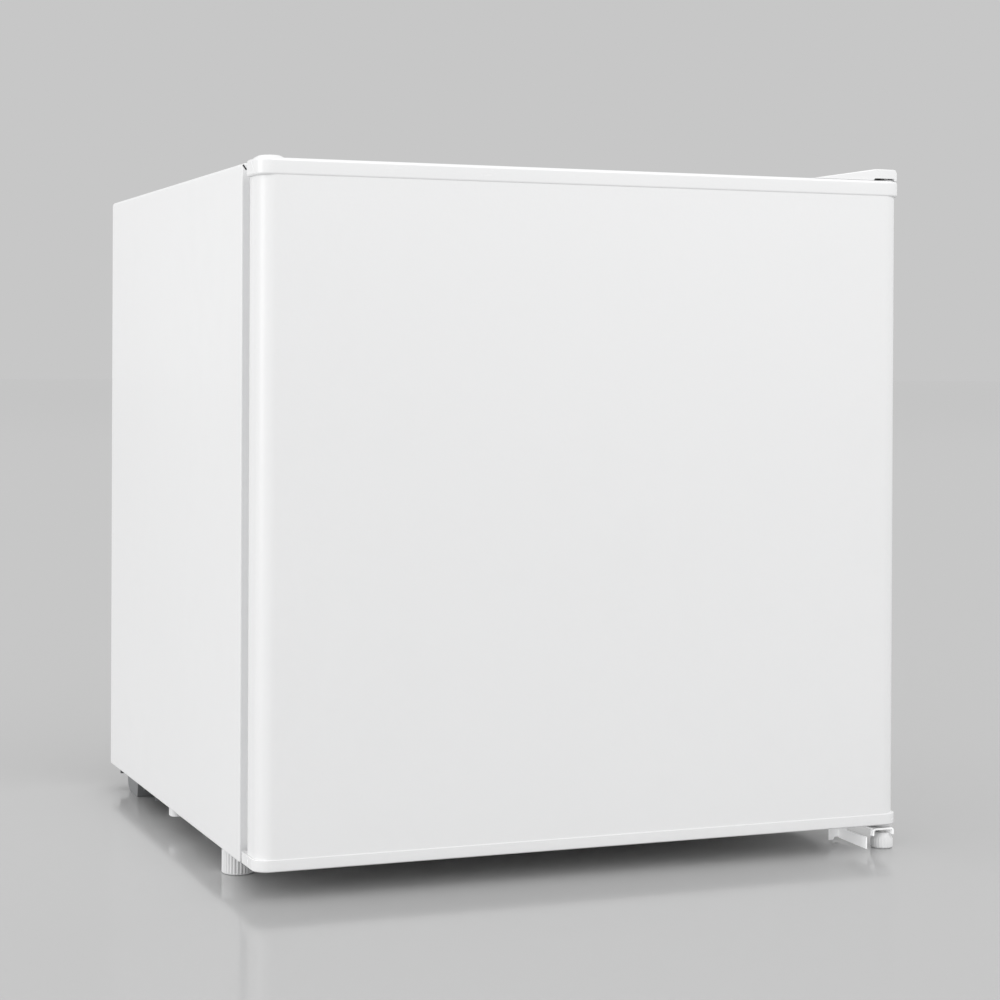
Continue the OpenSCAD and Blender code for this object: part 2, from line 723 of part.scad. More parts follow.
module lower_hinge_bracket() {
    strap_x = axis_x - 13.5;
    color(white) difference() {
        union() {
            block([axis_x - 38, cab_y0 + 3, tongue_z1], [axis_x + 5, cab_y0 + 55, cab_z0]);
            along_z(tongue_z0, tongue_z1)
                polygon(round_rect(axis_x - 11, axis_y - 8, axis_x + 7.5, cab_y0 + 7, 7, 0.5));
            block([axis_x - 11, axis_y - 1, tongue_z0 - 5], [axis_x - 9.5, axis_y + 10, tongue_z1]);
            block([strap_x, axis_y + 8, tongue_z0 - 5], [axis_x - 9.5, axis_y + 10, tongue_z1]);
            block([strap_x, axis_y - 3, 1.2], [strap_x + 1.5, cab_y0 + 35, 10]);
            block([strap_x, cab_y0 + 5, 9], [strap_x + 1.5, cab_y0 + 35, cab_z0 - 1]);
        }
        for (p = low_screws) rod_z(tongue_z1 - 1, cab_z0 + 1, p.x, p.y, 2.6);
        rod_z(tongue_z0 - 1, tongue_z1 + 1, axis_x, axis_y, low_pin_r);
    }
}

module lower_hinge_pin() {
    color(steel) difference() {
        rod_z(tongue_z0, door_z0 + 15, axis_x, axis_y, low_pin_r);
        rod_z(tongue_z0 - 1, door_z0 + 16, axis_x, axis_y, hinge_stud_r + pin_gap);
    }
}

module hinge_screws() {
    color(steel) {
        for (p = top_screws) {
            rod_z(cab_z1 - 16, cab_z1 + 3, p.x, p.y, 2.5);
            rod_z(cab_z1 + 2, cab_z1 + 4.5, p.x, p.y, 4.5);
        }
        for (p = low_screws) {
            rod_z(tongue_z1 - 1, cab_z0 + 16, p.x, p.y, 2.5);
            rod_z(tongue_z1 - 2.5, tongue_z1, p.x, p.y, 4.5);
        }
    }
}

module foot_nut() {
    color(steel) difference() {
        block([foot_x - 11.8, foot_y - 11.8, floor_z], [foot_x + 11.8, foot_y + 11.8, floor_z + 5.8]);
        rod_z(floor_z - 1, floor_z + 7, foot_x, foot_y, foot_stud_r + pin_gap);
    }
}

// Grip outline of a foot: a circle with upright ribs
function ribbed(r, ribs) = [for (i = [0:ribs * 4 - 1])
    let (a = i * 90 / ribs, rr = r - (i % 4 < 2 ? 0 : 0.6)) [rr * cos(a), rr * sin(a)]];

module front_foot_left() {
    color(white) difference() {
        translate([foot_x, foot_y, 0]) linear_extrude(cab_z0 - 0.7) polygon(ribbed(foot_r, 30));
        rod_z(foot_socket_z, cab_z0, foot_x, foot_y, foot_stud_r);
    }
}

module foot_stud_left() {
    color(steel) rod_z(foot_socket_z, floor_z + 24, foot_x, foot_y, foot_stud_r);
}

module front_foot_right() {
    color(white) difference() {
        translate([axis_x, axis_y, 0]) linear_extrude(tongue_z0 - 1.5) polygon(ribbed(hinge_foot_r, 24));
        rod_z(foot_socket_z, cab_z0, axis_x, axis_y, hinge_stud_r);
    }
}

module foot_stud_right() {
    color(steel) rod_z(foot_socket_z, door_z0 + 11, axis_x, axis_y, hinge_stud_r);
}

module rear_feet() {
    color(grey) both_sides() {
        along_x(rear_foot_x - 12, rear_foot_x + 12)
            polygon([[rear_foot_y - 14, pan_z], [rear_foot_y - 11, 0], [rear_foot_y + 16, 0],
                     [rear_foot_y + 23, 5], [rear_foot_y + 25, pan_z]]);
    }
}

// ---------- door ----------

function skin_outline(t) = concat(
    [[door_x - t, skin_back]],
    [[t - door_x, skin_back]],
    arc(door_corner_r - door_x, skin_y + door_corner_r, door_corner_r - t, 180, 270),
    arc(door_x - door_corner_r, skin_y + door_corner_r, door_corner_r - t, 270, 360)
);

module door_skin() {
    color(white) along_z(skin_z0, skin_z1) {
        difference() {
            polygon(skin_outline(0));
            translate([0, 1]) polygon(skin_outline(sheet));
            polygon(skin_outline(sheet));
        }
        both_sides() translate([door_x - 9, skin_back - sheet]) square([9, sheet]);
    }
}

module ridge_ring(t, y0, y1) {
    along_y(y0, y1) difference() {
        translate([t - ridge_x, ridge_z0 + t])
            square([2 * (ridge_x - t), ridge_z1 - ridge_z0 - 2 * t]);
        translate([-rack_x - t, ridge_z0 + ridge_w - t])
            square([2 * (rack_x + t), ridge_z1 - ridge_z0 - 2 * (ridge_w - t)]);
    }
}

module door_foam() {
    color(foam_yellow) difference() {
        union() {
            intersection() {
                along_z(skin_z0 + 1.7, skin_z1 - 1.7) polygon(skin_outline(sheet));
                block([-side_x, y_front, 0], [side_x, skin_back - sheet, door_z1]);
            }
            block([9 - door_x, skin_back - 2, skin_z0 + 6], [door_x - 9, skin_back, skin_z1 - 9]);
            ridge_ring(liner_t, skin_back - 1, ridge_back - liner_t);
        }
        rod_z(door_z0, door_z0 + 23, axis_x, axis_y, 5.1);
        rod_z(door_z1 - 21, door_z1, axis_x, axis_y, 5.1);
        rod_z(door_z1 - 12, door_z1, -axis_x, axis_y, 5.1);
    }
}

module door_liner() {
    color(liner_white) difference() {
        union() {
            block([5 - side_x, skin_back, panel_z0], [side_x - 5, panel_back, panel_z1]);
            ridge_ring(0, skin_back, ridge_back);
        }
        ridge_ring(liner_t, skin_back - 1, ridge_back - liner_t);
    }
}

module cap_shell(z0, z1, pocket_z0, pocket_z1) {
    difference() {
        along_z(z0, z1) polygon(round_rect(-side_x, y_front, side_x, cap_back, 8, 4));
        along_z(pocket_z0, pocket_z1) polygon(concat(
            [[door_x + 0.05, cap_back - 1.5], [-door_x - 0.05, cap_back - 1.5]],
            arc(door_corner_r - door_x, skin_y + door_corner_r, door_corner_r + 0.05, 180, 270),
            arc(door_x - door_corner_r, skin_y + door_corner_r, door_corner_r + 0.05, 270, 360)
        ));
    }
}

module door_top_cap() {
    color(white) difference() {
        cap_shell(door_z1 - top_cap_h, door_z1, door_z1 - top_cap_h - 1, skin_z1);
        for (s = [-1, 1]) rod_z(door_z1 - 5, door_z1 + 1, s * axis_x, axis_y, 5.1);
    }
}

module door_bottom_cap() {
    color(white) difference() {
        cap_shell(door_z0, door_z0 + bottom_cap_h, skin_z0, door_z0 + bottom_cap_h + 1);
        rod_z(door_z0 - 1, door_z0 + 5, axis_x, axis_y, 5.1);
    }
}

module frame_2d(x1, z0, z1, w) {
    difference() {
        translate([-x1, z0]) square([2 * x1, z1 - z0]);
        translate([w - x1, z0 + w]) square([2 * (x1 - w), z1 - z0 - 2 * w]);
    }
}

module door_gasket() {
    color("#E6E7E8") difference() {
        along_y(panel_back, gasket_back) frame_2d(gasket_x, panel_z0 + 0.5, panel_z1 - 0.5, gasket_w);
        along_y(panel_back - 1, gasket_back - 2)
            frame_2d(gasket_x - 8, panel_z0 + 8.5, panel_z1 - 8.5, 9);
    }
}

module gasket_magnets() {
    z0 = panel_z0 + 8.7;
    z1 = panel_z1 - 8.7;
    x1 = gasket_x - 8.2;
    color(dark) {
        both_sides() block([x1 - 8.6, gasket_back - 5, z0 + 9], [x1, gasket_back - 2, z1 - 9]);
        for (z = [z0, z1 - 8.6])
            block([9 - x1, gasket_back - 5, z], [x1 - 9, gasket_back - 2, z + 8.6]);
    }
}

module hinge_bushes() {
    color("#E8EAEB") {
        difference() {
            union() {
                rod_z(tongue_z1 + 0.5, door_z0 + 22, axis_x, axis_y, 5);
                rod_z(tongue_z1 + 0.5, door_z0, axis_x, axis_y, 7);
            }
            rod_z(tongue_z1 - 1, door_z0 + 23, axis_x, axis_y, low_pin_r + pin_gap);
        }
        difference() {
            union() {
                rod_z(door_z1 - 20, door_z1 + 1, axis_x, axis_y, 5);
                rod_z(door_z1, door_z1 + 1, axis_x, axis_y, 6.5);
            }
            rod_z(door_z1 - 21, door_z1 + 2, axis_x, axis_y, top_pin_r + pin_gap);
        }
    }
}

module hinge_hole_cover() {
    cx = 3 - axis_x;
    color(white) {
        along_y(axis_y - 9, axis_y + 9)
            polygon([[cx - 10.5, door_z1], [cx + 10.5, door_z1], [cx + 8, door_z1 + 2.5], [cx - 8, door_z1 + 2.5]]);
        rod_z(door_z1 - 10, door_z1 + 1, -axis_x, axis_y, 5);
    }
}

module door_rack(z0, h, front_y) {
    t = 2.4;
    difference() {
        block([-rack_x, panel_back, z0], [rack_x, front_y, z0 + h]);
        block([t - rack_x, panel_back + t, z0 + t], [rack_x - t, front_y - t, z0 + h + 1]);
    }
}

module lower_door_rack() {
    color("#E4ECF0") door_rack(ridge_z0 + ridge_w + 2, 58, cab_y0 + 73);
}

module upper_door_rack() {
    color("#E4ECF0") door_rack(ridge_z0 + 176, 48, cab_y0 + 57);
}

cabinet_wrapper();
back_panel();
base_plate();
bay_panel();
cabinet_foam();
inner_liner();
condenser_coil();
ice_box();
ice_box_frame();
ice_box_clips();
ice_box_flap();
tray_rails();
drip_tray();
thermostat_housing();
thermostat_control();
thermostat_knob();
sensing_tube();
wire_shelf();
upper_hinge_plate();
upper_hinge_pin();
hinge_cover();
lower_hinge_bracket();
lower_hinge_pin();
hinge_screws();
foot_nut();
front_foot_left();
foot_stud_left();
front_foot_right();
foot_stud_right();
rear_feet();
compressor();
compressor_base();
grommets();
compressor_bolts();
relay_cover();
filter_drier();
capillary_tube();
suction_line();
discharge_line();
process_tube();
wiring_loom();
cable_gland();
back_screws();
foam_plugs();
rating_plate();
door_skin();
door_foam();
door_liner();
door_top_cap();
door_bottom_cap();
door_gasket();
gasket_magnets();
hinge_bushes();
hinge_hole_cover();
lower_door_rack();
upper_door_rack();
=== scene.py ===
"""Looks of a compact cube refrigerator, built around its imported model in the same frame.

Sizes are in millimetres until a mesh is finished; X is right, Y is back and Z is up.
"""

import json
import logging
import math
from collections.abc import Iterable, Sequence
from dataclasses import dataclass, field
from enum import Enum

import bmesh
import bpy
from mathutils import Euler, Matrix, Vector


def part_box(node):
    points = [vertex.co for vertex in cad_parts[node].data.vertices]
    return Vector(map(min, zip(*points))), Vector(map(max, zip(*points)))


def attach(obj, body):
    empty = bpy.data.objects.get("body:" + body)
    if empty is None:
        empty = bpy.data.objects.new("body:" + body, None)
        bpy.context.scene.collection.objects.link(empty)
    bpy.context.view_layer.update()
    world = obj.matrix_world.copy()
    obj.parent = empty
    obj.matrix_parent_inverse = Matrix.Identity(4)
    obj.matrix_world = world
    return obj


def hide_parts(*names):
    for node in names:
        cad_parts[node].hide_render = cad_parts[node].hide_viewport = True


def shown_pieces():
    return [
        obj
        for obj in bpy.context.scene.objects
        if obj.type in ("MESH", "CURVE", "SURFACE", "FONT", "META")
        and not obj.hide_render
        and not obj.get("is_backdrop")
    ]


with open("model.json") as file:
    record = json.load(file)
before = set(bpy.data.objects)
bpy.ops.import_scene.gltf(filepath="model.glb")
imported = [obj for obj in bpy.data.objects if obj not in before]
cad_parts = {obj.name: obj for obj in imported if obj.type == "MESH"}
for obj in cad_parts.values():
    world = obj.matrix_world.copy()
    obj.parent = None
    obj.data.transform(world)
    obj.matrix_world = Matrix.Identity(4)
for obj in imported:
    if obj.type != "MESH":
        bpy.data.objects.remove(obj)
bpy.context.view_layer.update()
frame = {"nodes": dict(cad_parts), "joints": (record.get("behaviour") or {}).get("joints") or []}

METRE = 1000.0
SHARP = math.radians(38)
THIN = 0.02
MERGE = 1e-5

LOG = logging.getLogger("refrigerator")

Point = Sequence[float]
Ring = list[Vector]
Colour = tuple[float, float, float]


class Plane(Enum):
    """The two axes that an outline is drawn on, then the axis of its level."""

    XY = (0, 1, 2)
    XZ = (0, 2, 1)
    YZ = (1, 2, 0)

    def at(self, first: float, second: float, level: float) -> Vector:
        """Finds a point.

        Args:
            first: coordinate on the plane's first axis.
            second: coordinate on its second axis.
            level: distance along the axis that stands on it.

        Returns:
            The point.
        """
        point = Vector((0.0, 0.0, 0.0))
        point[self.value[0]] = first
        point[self.value[1]] = second
        point[self.value[2]] = level
        return point


class Body(Enum):
    """The moving bodies that pieces ride on."""

    CABINET = "cabinet"
    DOOR = "door"
    FLAP = "flap"
    TRAY = "tray"
    KNOB = "knob"
    LEFT_FOOT = "foot_left"
    RIGHT_FOOT = "foot_right"


@dataclass(frozen=True)
class Box:
    """Lowest and highest corners in millimetres."""

    x0: float
    y0: float
    z0: float
    x1: float
    y1: float
    z1: float

    @classmethod
    def of(cls, node: str) -> "Box":
        """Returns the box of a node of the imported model."""
        low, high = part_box(node)
        return cls(*(v * METRE for v in low), *(v * METRE for v in high))

    @property
    def centre(self) -> Vector:
        """The middle point."""
        return (Vector((self.x0, self.y0, self.z0)) + Vector((self.x1, self.y1, self.z1))) / 2


def box_of(node: str) -> Box:
    """Makes a dataclass field that holds a node's box."""
    return field(default_factory=lambda: Box.of(node))


def place_of(name: str) -> Vector:
    """Makes a dataclass field that holds a point on a joint's axis."""
    joint = next(j for j in frame["joints"] if j["name"] == name)
    return field(default_factory=lambda: Vector(joint["pos_m"]) * METRE)


# ---------- outlines ----------


def quarter(steps: int) -> list[float]:
    """Returns the angles of a quarter turn in equal steps, in radians."""
    return [math.radians(90 * i / steps) for i in range(steps + 1)]


def arc(u: float, v: float, radius: float, start: float, end: float, steps: int = 5) -> list:
    """Draws an arc.

    Args:
        u: first coordinate of the centre.
        v: second coordinate of the centre.
        radius: radius of the arc.
        start: first angle in degrees.
        end: last angle in degrees.
        steps: number of chords.

    Returns:
        The points from start to end.
    """
    turns = [math.radians(start + (end - start) * i / steps) for i in range(steps + 1)]
    return [(u + radius * math.cos(a), v + radius * math.sin(a)) for a in turns]


def rounded(
    u0: float, v0: float, u1: float, v1: float, radii: Sequence[float], steps: int = 5
) -> list:
    """Draws a rectangle with rounded corners.

    Args:
        u0: low side on the first axis.
        v0: low side on the second axis.
        u1: high side on the first axis.
        v1: high side on the second axis.
        radii: corner radius on the low side and on the high side of the second axis.
        steps: chords in each corner.

    Returns:
        The points, counter-clockwise.
    """
    low, high = (max(r, THIN) for r in radii)
    return (
        arc(u0 + low, v0 + low, low, 180, 270, steps)
        + arc(u1 - low, v0 + low, low, 270, 360, steps)
        + arc(u1 - high, v1 - high, high, 0, 90, steps)
        + arc(u0 + high, v1 - high, high, 90, 180, steps)
    )


def ring(plane: Plane, outline: Iterable[Point], level: float) -> Ring:
    """Puts a flat outline at a level of a plane."""
    return [plane.at(u, v, level) for u, v in outline]


def inset_rings(
    plane: Plane,
    rect: Sequence[float],
    radius: float,
    profile: Iterable[tuple[float, float]],
    steps: int = 5,
) -> list[Ring]:
    """Draws rounded rectangles, one for each step of a wall's profile.

    Args:
        plane: plane of the rectangles.
        rect: u0, v0, u1, v1 of the rectangle with no inset.
        radius: its corner radius.
        profile: inset and level of each rectangle.
        steps: chords in each corner.

    Returns:
        One ring for each profile point.
    """
    u0, v0, u1, v1 = rect
    rings = []
    for inset, level in profile:
        corner = max(radius - inset, 0.3)
        sides = (u0 + inset, v0 + inset, u1 - inset, v1 - inset)
        rings.append(ring(plane, rounded(*sides, (corner, corner), steps), level))
    return rings


def route(corners: Iterable[Point], bend: float, steps: int = 7) -> list[Vector]:
    """Rounds the corners of a pipe's route.

    Args:
        corners: the straight route's points.
        bend: length that each bend takes from the straights beside it.
        steps: chords in each bend.

    Returns:
        The centreline's points.
    """
    points = [Vector(c) for c in corners]
    line = [points[0]]
    for before, here, after in zip(points, points[1:], points[2:]):
        room = min(bend, (here - before).length * 0.49, (after - here).length * 0.49)
        start = here + (before - here).normalized() * room
        end = here + (after - here).normalized() * room
        for i in range(steps + 1):
            t = i / steps
            line.append(start * (1 - t) ** 2 + here * 2 * t * (1 - t) + end * t * t)
    return line + [points[-1]]


# ---------- meshes ----------


class Solid:
    """Closed shells gathered into one mesh."""

    def __init__(self) -> None:
        """Starts an empty mesh."""
        self.mesh = bmesh.new()

    def loft(self, rings: Sequence[Ring], closed: bool = False) -> "Solid":
        """Joins rings of equal length into a shell.

        Args:
            rings: the rings in order.
            closed: whether the last ring joins the first, with no end faces.

        Returns:
            This solid.
        """
        rows = [[self.mesh.verts.new(p) for p in one] for one in rings]
        count = len(rows[0])
        assert all(len(row) == count for row in rows), "rings differ in length"
        pairs = list(zip(rows, rows[1:])) + ([(rows[-1], rows[0])] if closed else [])
        faces = []
        for near, far in pairs:
            for i in range(count):
                j = (i + 1) % count
                faces.append(self.mesh.faces.new((near[i], near[j], far[j], far[i])))
        if not closed:
            faces.append(self.mesh.faces.new(rows[0][::-1]))
            faces.append(self.mesh.faces.new(rows[-1]))
        bmesh.ops.recalc_face_normals(self.mesh, faces=faces)
        return self

    def block(self, low: Point, high: Point, radius: float = 0.5, steps: int = 2) -> "Solid":
        """Adds a box with rounded edges.

        Args:
            low: lowest corner.
            high: highest corner.
            radius: radius of the edges.
            steps: chords across an edge.

        Returns:
            This solid.
        """
        low, high = Vector(low), Vector(high)
        place = Matrix.LocRotScale((low + high) / 2, None, high - low)
        made = bmesh.ops.create_cube(self.mesh, size=1.0, matrix=place)
        edges = dict.fromkeys(e for v in made["verts"] for e in v.link_edges)
        return self.soften(edges, radius, steps)

    def soften(self, edges: Iterable[bmesh.types.BMEdge], radius: float, steps: int) -> "Solid":
        """Rounds edges.

        Args:
            edges: the edges.
            radius: radius of the rounding.
            steps: chords across an edge.

        Returns:
            This solid.
        """
        bmesh.ops.bevel(
            self.mesh, geom=list(edges), offset=radius, segments=steps, profile=0.5,
            affect="EDGES", clamp_overlap=True,
        )
        return self

    def prism(
        self, plane: Plane, outline: Sequence[Point], low: float, high: float, radius: float = 0.0
    ) -> "Solid":
        """Adds an outline drawn out between two levels.

        Args:
            plane: plane of the outline.
            outline: its points.
            low: first level.
            high: last level.
            radius: rounding of the edges round both ends, or 0 for sharp ones.

        Returns:
            This solid.
        """
        first = [self.mesh.verts.new(plane.at(u, v, low)) for u, v in outline]
        last = [self.mesh.verts.new(plane.at(u, v, high)) for u, v in outline]
        faces = [self.mesh.faces.new(first[::-1]), self.mesh.faces.new(last)]
        for i, near in enumerate(first):
            j = (i + 1) % len(first)
            faces.append(self.mesh.faces.new((near, first[j], last[j], last[i])))
        bmesh.ops.recalc_face_normals(self.mesh, faces=faces)
        if radius:
            self.soften(dict.fromkeys(e for f in faces[:2] for e in f.edges), radius, 2)
        return self

    def turned(
        self,
        plane: Plane,
        profile: Iterable[tuple[float, float]],
        centre: Point,
        steps: int = 40,
    ) -> "Solid":
        """Adds a shape turned about the axis that stands on a plane.

        Args:
            plane: plane that the circles lie in.
            profile: radius and level of each circle, levels measured from the centre.
            centre: point on the axis.
            steps: chords in a circle.

        Returns:
            This solid.
        """
        u, v, base = (centre[i] for i in plane.value)
        last = 360 * (1 - 1 / steps)
        return self.loft([
            ring(plane, arc(u, v, max(r, THIN), 0, last, steps - 1), base + level)
            for r, level in profile
        ])

    def pipe(
        self,
        line: Sequence[Vector],
        radius: float | Sequence[float],
        sides: int = 14,
        closed: bool = False,
    ) -> "Solid":
        """Adds a round bar or pipe along a line.

        Args:
            line: points of the centreline.
            radius: one radius, or one for each point.
            sides: chords round the pipe.
            closed: whether the line is a loop.

        Returns:
            This solid.
        """
        points = [Vector(p) for p in line]
        count = len(points)
        radii = [radius] * count if isinstance(radius, (int, float)) else list(radius)
        rings, normal = [], None
        for i, point in enumerate(points):
            after = points[(i + 1) % count] if closed or i + 1 < count else point
            before = points[i - 1] if closed or i else point
            tangent = (after - before).normalized()
            normal = tangent.orthogonal() if normal is None else normal
            normal = (normal - tangent * normal.dot(tangent)).normalized()
            side = tangent.cross(normal)
            turns = [math.tau * k / sides for k in range(sides)]
            rings.append(
                [point + (normal * math.cos(a) + side * math.sin(a)) * radii[i] for a in turns]
            )
        return self.loft(rings, closed)

    def piece(
        self,
        name: str,
        finish: "Finish",
        replaces: str = "",
        body: Body = Body.CABINET,
        slot: str = "",
    ) -> bpy.types.Object:
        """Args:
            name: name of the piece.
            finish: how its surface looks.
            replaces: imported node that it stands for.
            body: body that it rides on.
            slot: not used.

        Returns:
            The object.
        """
        bmesh.ops.remove_doubles(self.mesh, verts=self.mesh.verts, dist=MERGE)
        bmesh.ops.dissolve_degenerate(self.mesh, edges=self.mesh.edges, dist=MERGE)
        bmesh.ops.scale(self.mesh, vec=Vector((1, 1, 1)) / METRE, verts=self.mesh.verts)
        data = bpy.data.meshes.new(name)
        self.mesh.to_mesh(data)
        self.mesh.free()
        data.shade_smooth()
        data.set_sharp_from_angle(angle=SHARP)
        made = bpy.data.objects.new(name, data)
        bpy.context.scene.collection.objects.link(made)
        data.materials.append(finish.material())
        even = made.modifiers.new("even_shading", "WEIGHTED_NORMAL")
        even.keep_sharp, even.weight = True, 60
        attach(made, body.value)
        if replaces:
            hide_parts(replaces)
        LOG.info("piece %s on %s: %d faces", name, body.value, len(data.polygons))
        return made


def carry(finish: "Finish", *nodes: str) -> None:
    """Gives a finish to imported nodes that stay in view.

    Args:
        finish: how their surfaces look.
        nodes: names of the nodes.
    """
    for node in nodes:
        held = frame["nodes"][node]
        held.data.materials.clear()
        held.data.materials.append(finish.material())
        LOG.info("node %s keeps its shape", node)


# ---------- shaders ----------


class Wire:
    """A shader socket that arithmetic can be written on."""

    def __init__(self, tree: "Tree", socket: bpy.types.NodeSocket | None) -> None:
        """Wraps an output socket of a tree, or nothing for a tree's last node."""
        self.tree = tree
        self.socket = socket

    def _math(self, operation: str, first: "Wire | float", second: "Wire | float") -> "Wire":
        """Adds a Math node and returns its result."""
        return self.tree.node("ShaderNodeMath", {"operation": operation}, {0: first, 1: second})

    def __add__(self, other: "Wire | float") -> "Wire":
        """Returns the sum."""
        return self._math("ADD", self, other)

    __radd__ = __add__

    def __sub__(self, other: "Wire | float") -> "Wire":
        """Returns the difference."""
        return self._math("SUBTRACT", self, other)

    def __rsub__(self, other: float) -> "Wire":
        """Returns the difference from a number."""
        return self._math("SUBTRACT", other, self)

    def __mul__(self, other: "Wire | float") -> "Wire":
        """Returns the product."""
        return self._math("MULTIPLY", self, other)

    __rmul__ = __mul__

    def over(self, edge: float, width: float) -> "Wire":
        """Makes a soft step from 0 to 1.

        Args:
            edge: value at the middle of the step.
            width: half the width of the step.

        Returns:
            The step.
        """
        return self.tree.node(
            "ShaderNodeMapRange",
            {"interpolation_type": "SMOOTHSTEP"},
            {"Value": self, "From Min": edge - width, "From Max": edge + width},
        )


class Tree:
    """A node tree that is built node by node."""

    def __init__(self, tree: bpy.types.NodeTree) -> None:
        """Takes over a node tree and empties it."""
        self.tree = tree
        tree.nodes.clear()

    def node(
        self,
        kind: str,
        settings: dict | None = None,
        inputs: dict | None = None,
        output: int | str = 0,
    ) -> Wire:
        """Adds a node.

        Args:
            kind: type of the node.
            settings: its attributes, set first; "stops" holds a ramp's positions and colours.
            inputs: values or wires for its sockets.
            output: socket to return.

        Returns:
            The wire of that output.
        """
        made = self.tree.nodes.new(kind)
        for key, value in (settings or {}).items():
            if key == "stops":
                stops = made.color_ramp.elements
                while len(stops) < len(value):
                    stops.new(1.0)
                for stop, (place, colour) in zip(stops, value):
                    stop.position, stop.color = place, (*colour, 1.0)
            else:
                setattr(made, key, value)
        for key, value in (inputs or {}).items():
            self.feed(made.inputs[key], value)
        return Wire(self, made.outputs[output] if len(made.outputs) else None)

    def feed(self, socket: bpy.types.NodeSocket, value: "Wire | float | Point") -> None:
        """Links a wire to a socket, or sets the socket's value.

        Args:
            socket: the input socket.
            value: a wire, a number, or the numbers of a vector or a colour.
        """
        if isinstance(value, Wire):
            self.tree.links.new(value.socket, socket)
        elif socket.type == "RGBA":
            socket.default_value = (*value, 1.0)
        else:
            socket.default_value = value


class Shader(Tree):
    """The node tree of one material."""

    def __init__(self, name: str) -> None:
        """Starts a material.

        Args:
            name: its name.
        """
        self.material = bpy.data.materials.new(name)
        self.material.use_nodes = True
        super().__init__(self.material.node_tree)

    def show(self, surface: Wire) -> None:
        """Puts a shader on the output."""
        self.node("ShaderNodeOutputMaterial", inputs={0: surface})

    def put(self, **sockets: "Wire | float | Point") -> None:
        """Shows a Principled shader, its sockets named with underscores for spaces."""
        inputs = {key.replace("_", " "): value for key, value in sockets.items()}
        self.show(self.node("ShaderNodeBsdfPrincipled", inputs=inputs))

    def place(self, stretch: Point = (1, 1, 1)) -> Wire:
        """Finds the point on the piece, in metres.

        Args:
            stretch: factor for each axis.

        Returns:
            The point as a vector.
        """
        spot = self.node("ShaderNodeTexCoord", output="Object")
        return self.node(
            "ShaderNodeVectorMath", {"operation": "MULTIPLY"}, {0: spot, 1: tuple(stretch)}
        )

    def noise(
        self, scale: float, detail: float = 2.0, stretch: Point = (1, 1, 1), rough: float = 0.5
    ) -> Wire:
        """Returns soft noise from 0 to 1."""
        look = {"Scale": scale, "Detail": detail, "Roughness": rough}
        return self.node("ShaderNodeTexNoise", inputs={"Vector": self.place(stretch), **look})

    def cells(self, scale: float, output: str = "Distance") -> Wire:
        """Returns a value of a cell pattern."""
        sockets = {"Vector": self.place(), "Scale": scale}
        return self.node("ShaderNodeTexVoronoi", inputs=sockets, output=output)

    def blend(self, factor: "Wire | float", low: "Wire | Point", high: "Wire | Point") -> Wire:
        """Returns a colour between two colours."""
        return self.node("ShaderNodeMix", {"data_type": "RGBA"}, {0: factor, 6: low, 7: high}, 2)

    def bump(self, height: Wire, distance: float, below: Wire | None = None) -> Wire:
        """Raises the surface.

        Args:
            height: relief from 0 to 1.
            distance: height of the relief in metres.
            below: normal of a relief that it lies on.

        Returns:
            The normal.
        """
        sockets = {"Height": height, "Distance": distance, "Strength": 1.0}
        if below is not None:
            sockets["Normal"] = below
        return self.node("ShaderNodeBump", inputs=sockets)


@dataclass(frozen=True)
class Finish:
    """A surface finish: its colours, its gloss and the fine relief on it.

    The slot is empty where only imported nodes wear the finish.
    """

    name: str
    slot: str
    colour: Colour
    roughness: float

    def material(self) -> bpy.types.Material:
        """Makes the material, once.

        Returns:
            The material of this finish.
        """
        found = bpy.data.materials.get(self.name)
        if found:
            return found
        shader = Shader(self.name)
        self.dress(shader)
        return shader.material

    def shade(self, share: float) -> Colour:
        """Returns the colour darkened or lightened by a share."""
        return tuple(min(1.0, c * share) for c in self.colour)

    def dress(self, shader: Shader) -> None:
        """Builds the shader of this kind of finish."""
        raise NotImplementedError


@dataclass(frozen=True)
class Enamel(Finish):
    """Baked paint on sheet steel, with a fine orange peel and slow waves in the sheet."""

    peel: float = 0.000028
    peel_scale: float = 420.0
    wave: float = 0.0005
    coat: float = 0.12

    def dress(self, shader: Shader) -> None:
        """Builds the shader.

        Args:
            shader: the material's tree.
        """
        drift = shader.noise(3.2, 3.0)
        peel = shader.noise(self.peel_scale, 2.0)
        wave = shader.noise(5.0, 1.0)
        dust = (shader.noise(38.0, 5.0) * shader.noise(7.0, 2.0)).over(0.34, 0.12)
        normal = shader.bump(peel, self.peel, shader.bump(wave, self.wave))
        tone = shader.blend(drift, self.shade(0.985), self.shade(1.01))
        shader.put(
            Base_Color=shader.blend(dust * 0.25, tone, self.shade(0.965)),
            Roughness=self.roughness + (drift - 0.5) * 0.06 + dust * 0.05,
            Normal=normal,
            Coat_Weight=self.coat,
            Coat_Roughness=0.12,
        )


@dataclass(frozen=True)
class Moulded(Finish):
    """Injection-moulded plastic with a fine grain and faint flow marks."""

    grain: float = 0.00002
    grain_scale: float = 900.0
    clear: float = 0.0

    def dress(self, shader: Shader) -> None:
        """Builds the shader.

        Args:
            shader: the material's tree.
        """
        flow = shader.noise(9.0, 2.0, (1.0, 1.0, 0.35))
        grain = shader.noise(self.grain_scale, 3.0)
        scuff = shader.noise(120.0, 4.0, (0.25, 1.0, 1.0)).over(0.66, 0.06)
        shader.put(
            Base_Color=shader.blend(flow, self.shade(0.975), self.shade(1.012)),
            Roughness=self.roughness + (flow - 0.5) * 0.08 + scuff * 0.06,
            Normal=shader.bump(grain, self.grain, shader.bump(flow, 0.0003)),
            Transmission_Weight=self.clear,
            IOR=1.5,
        )


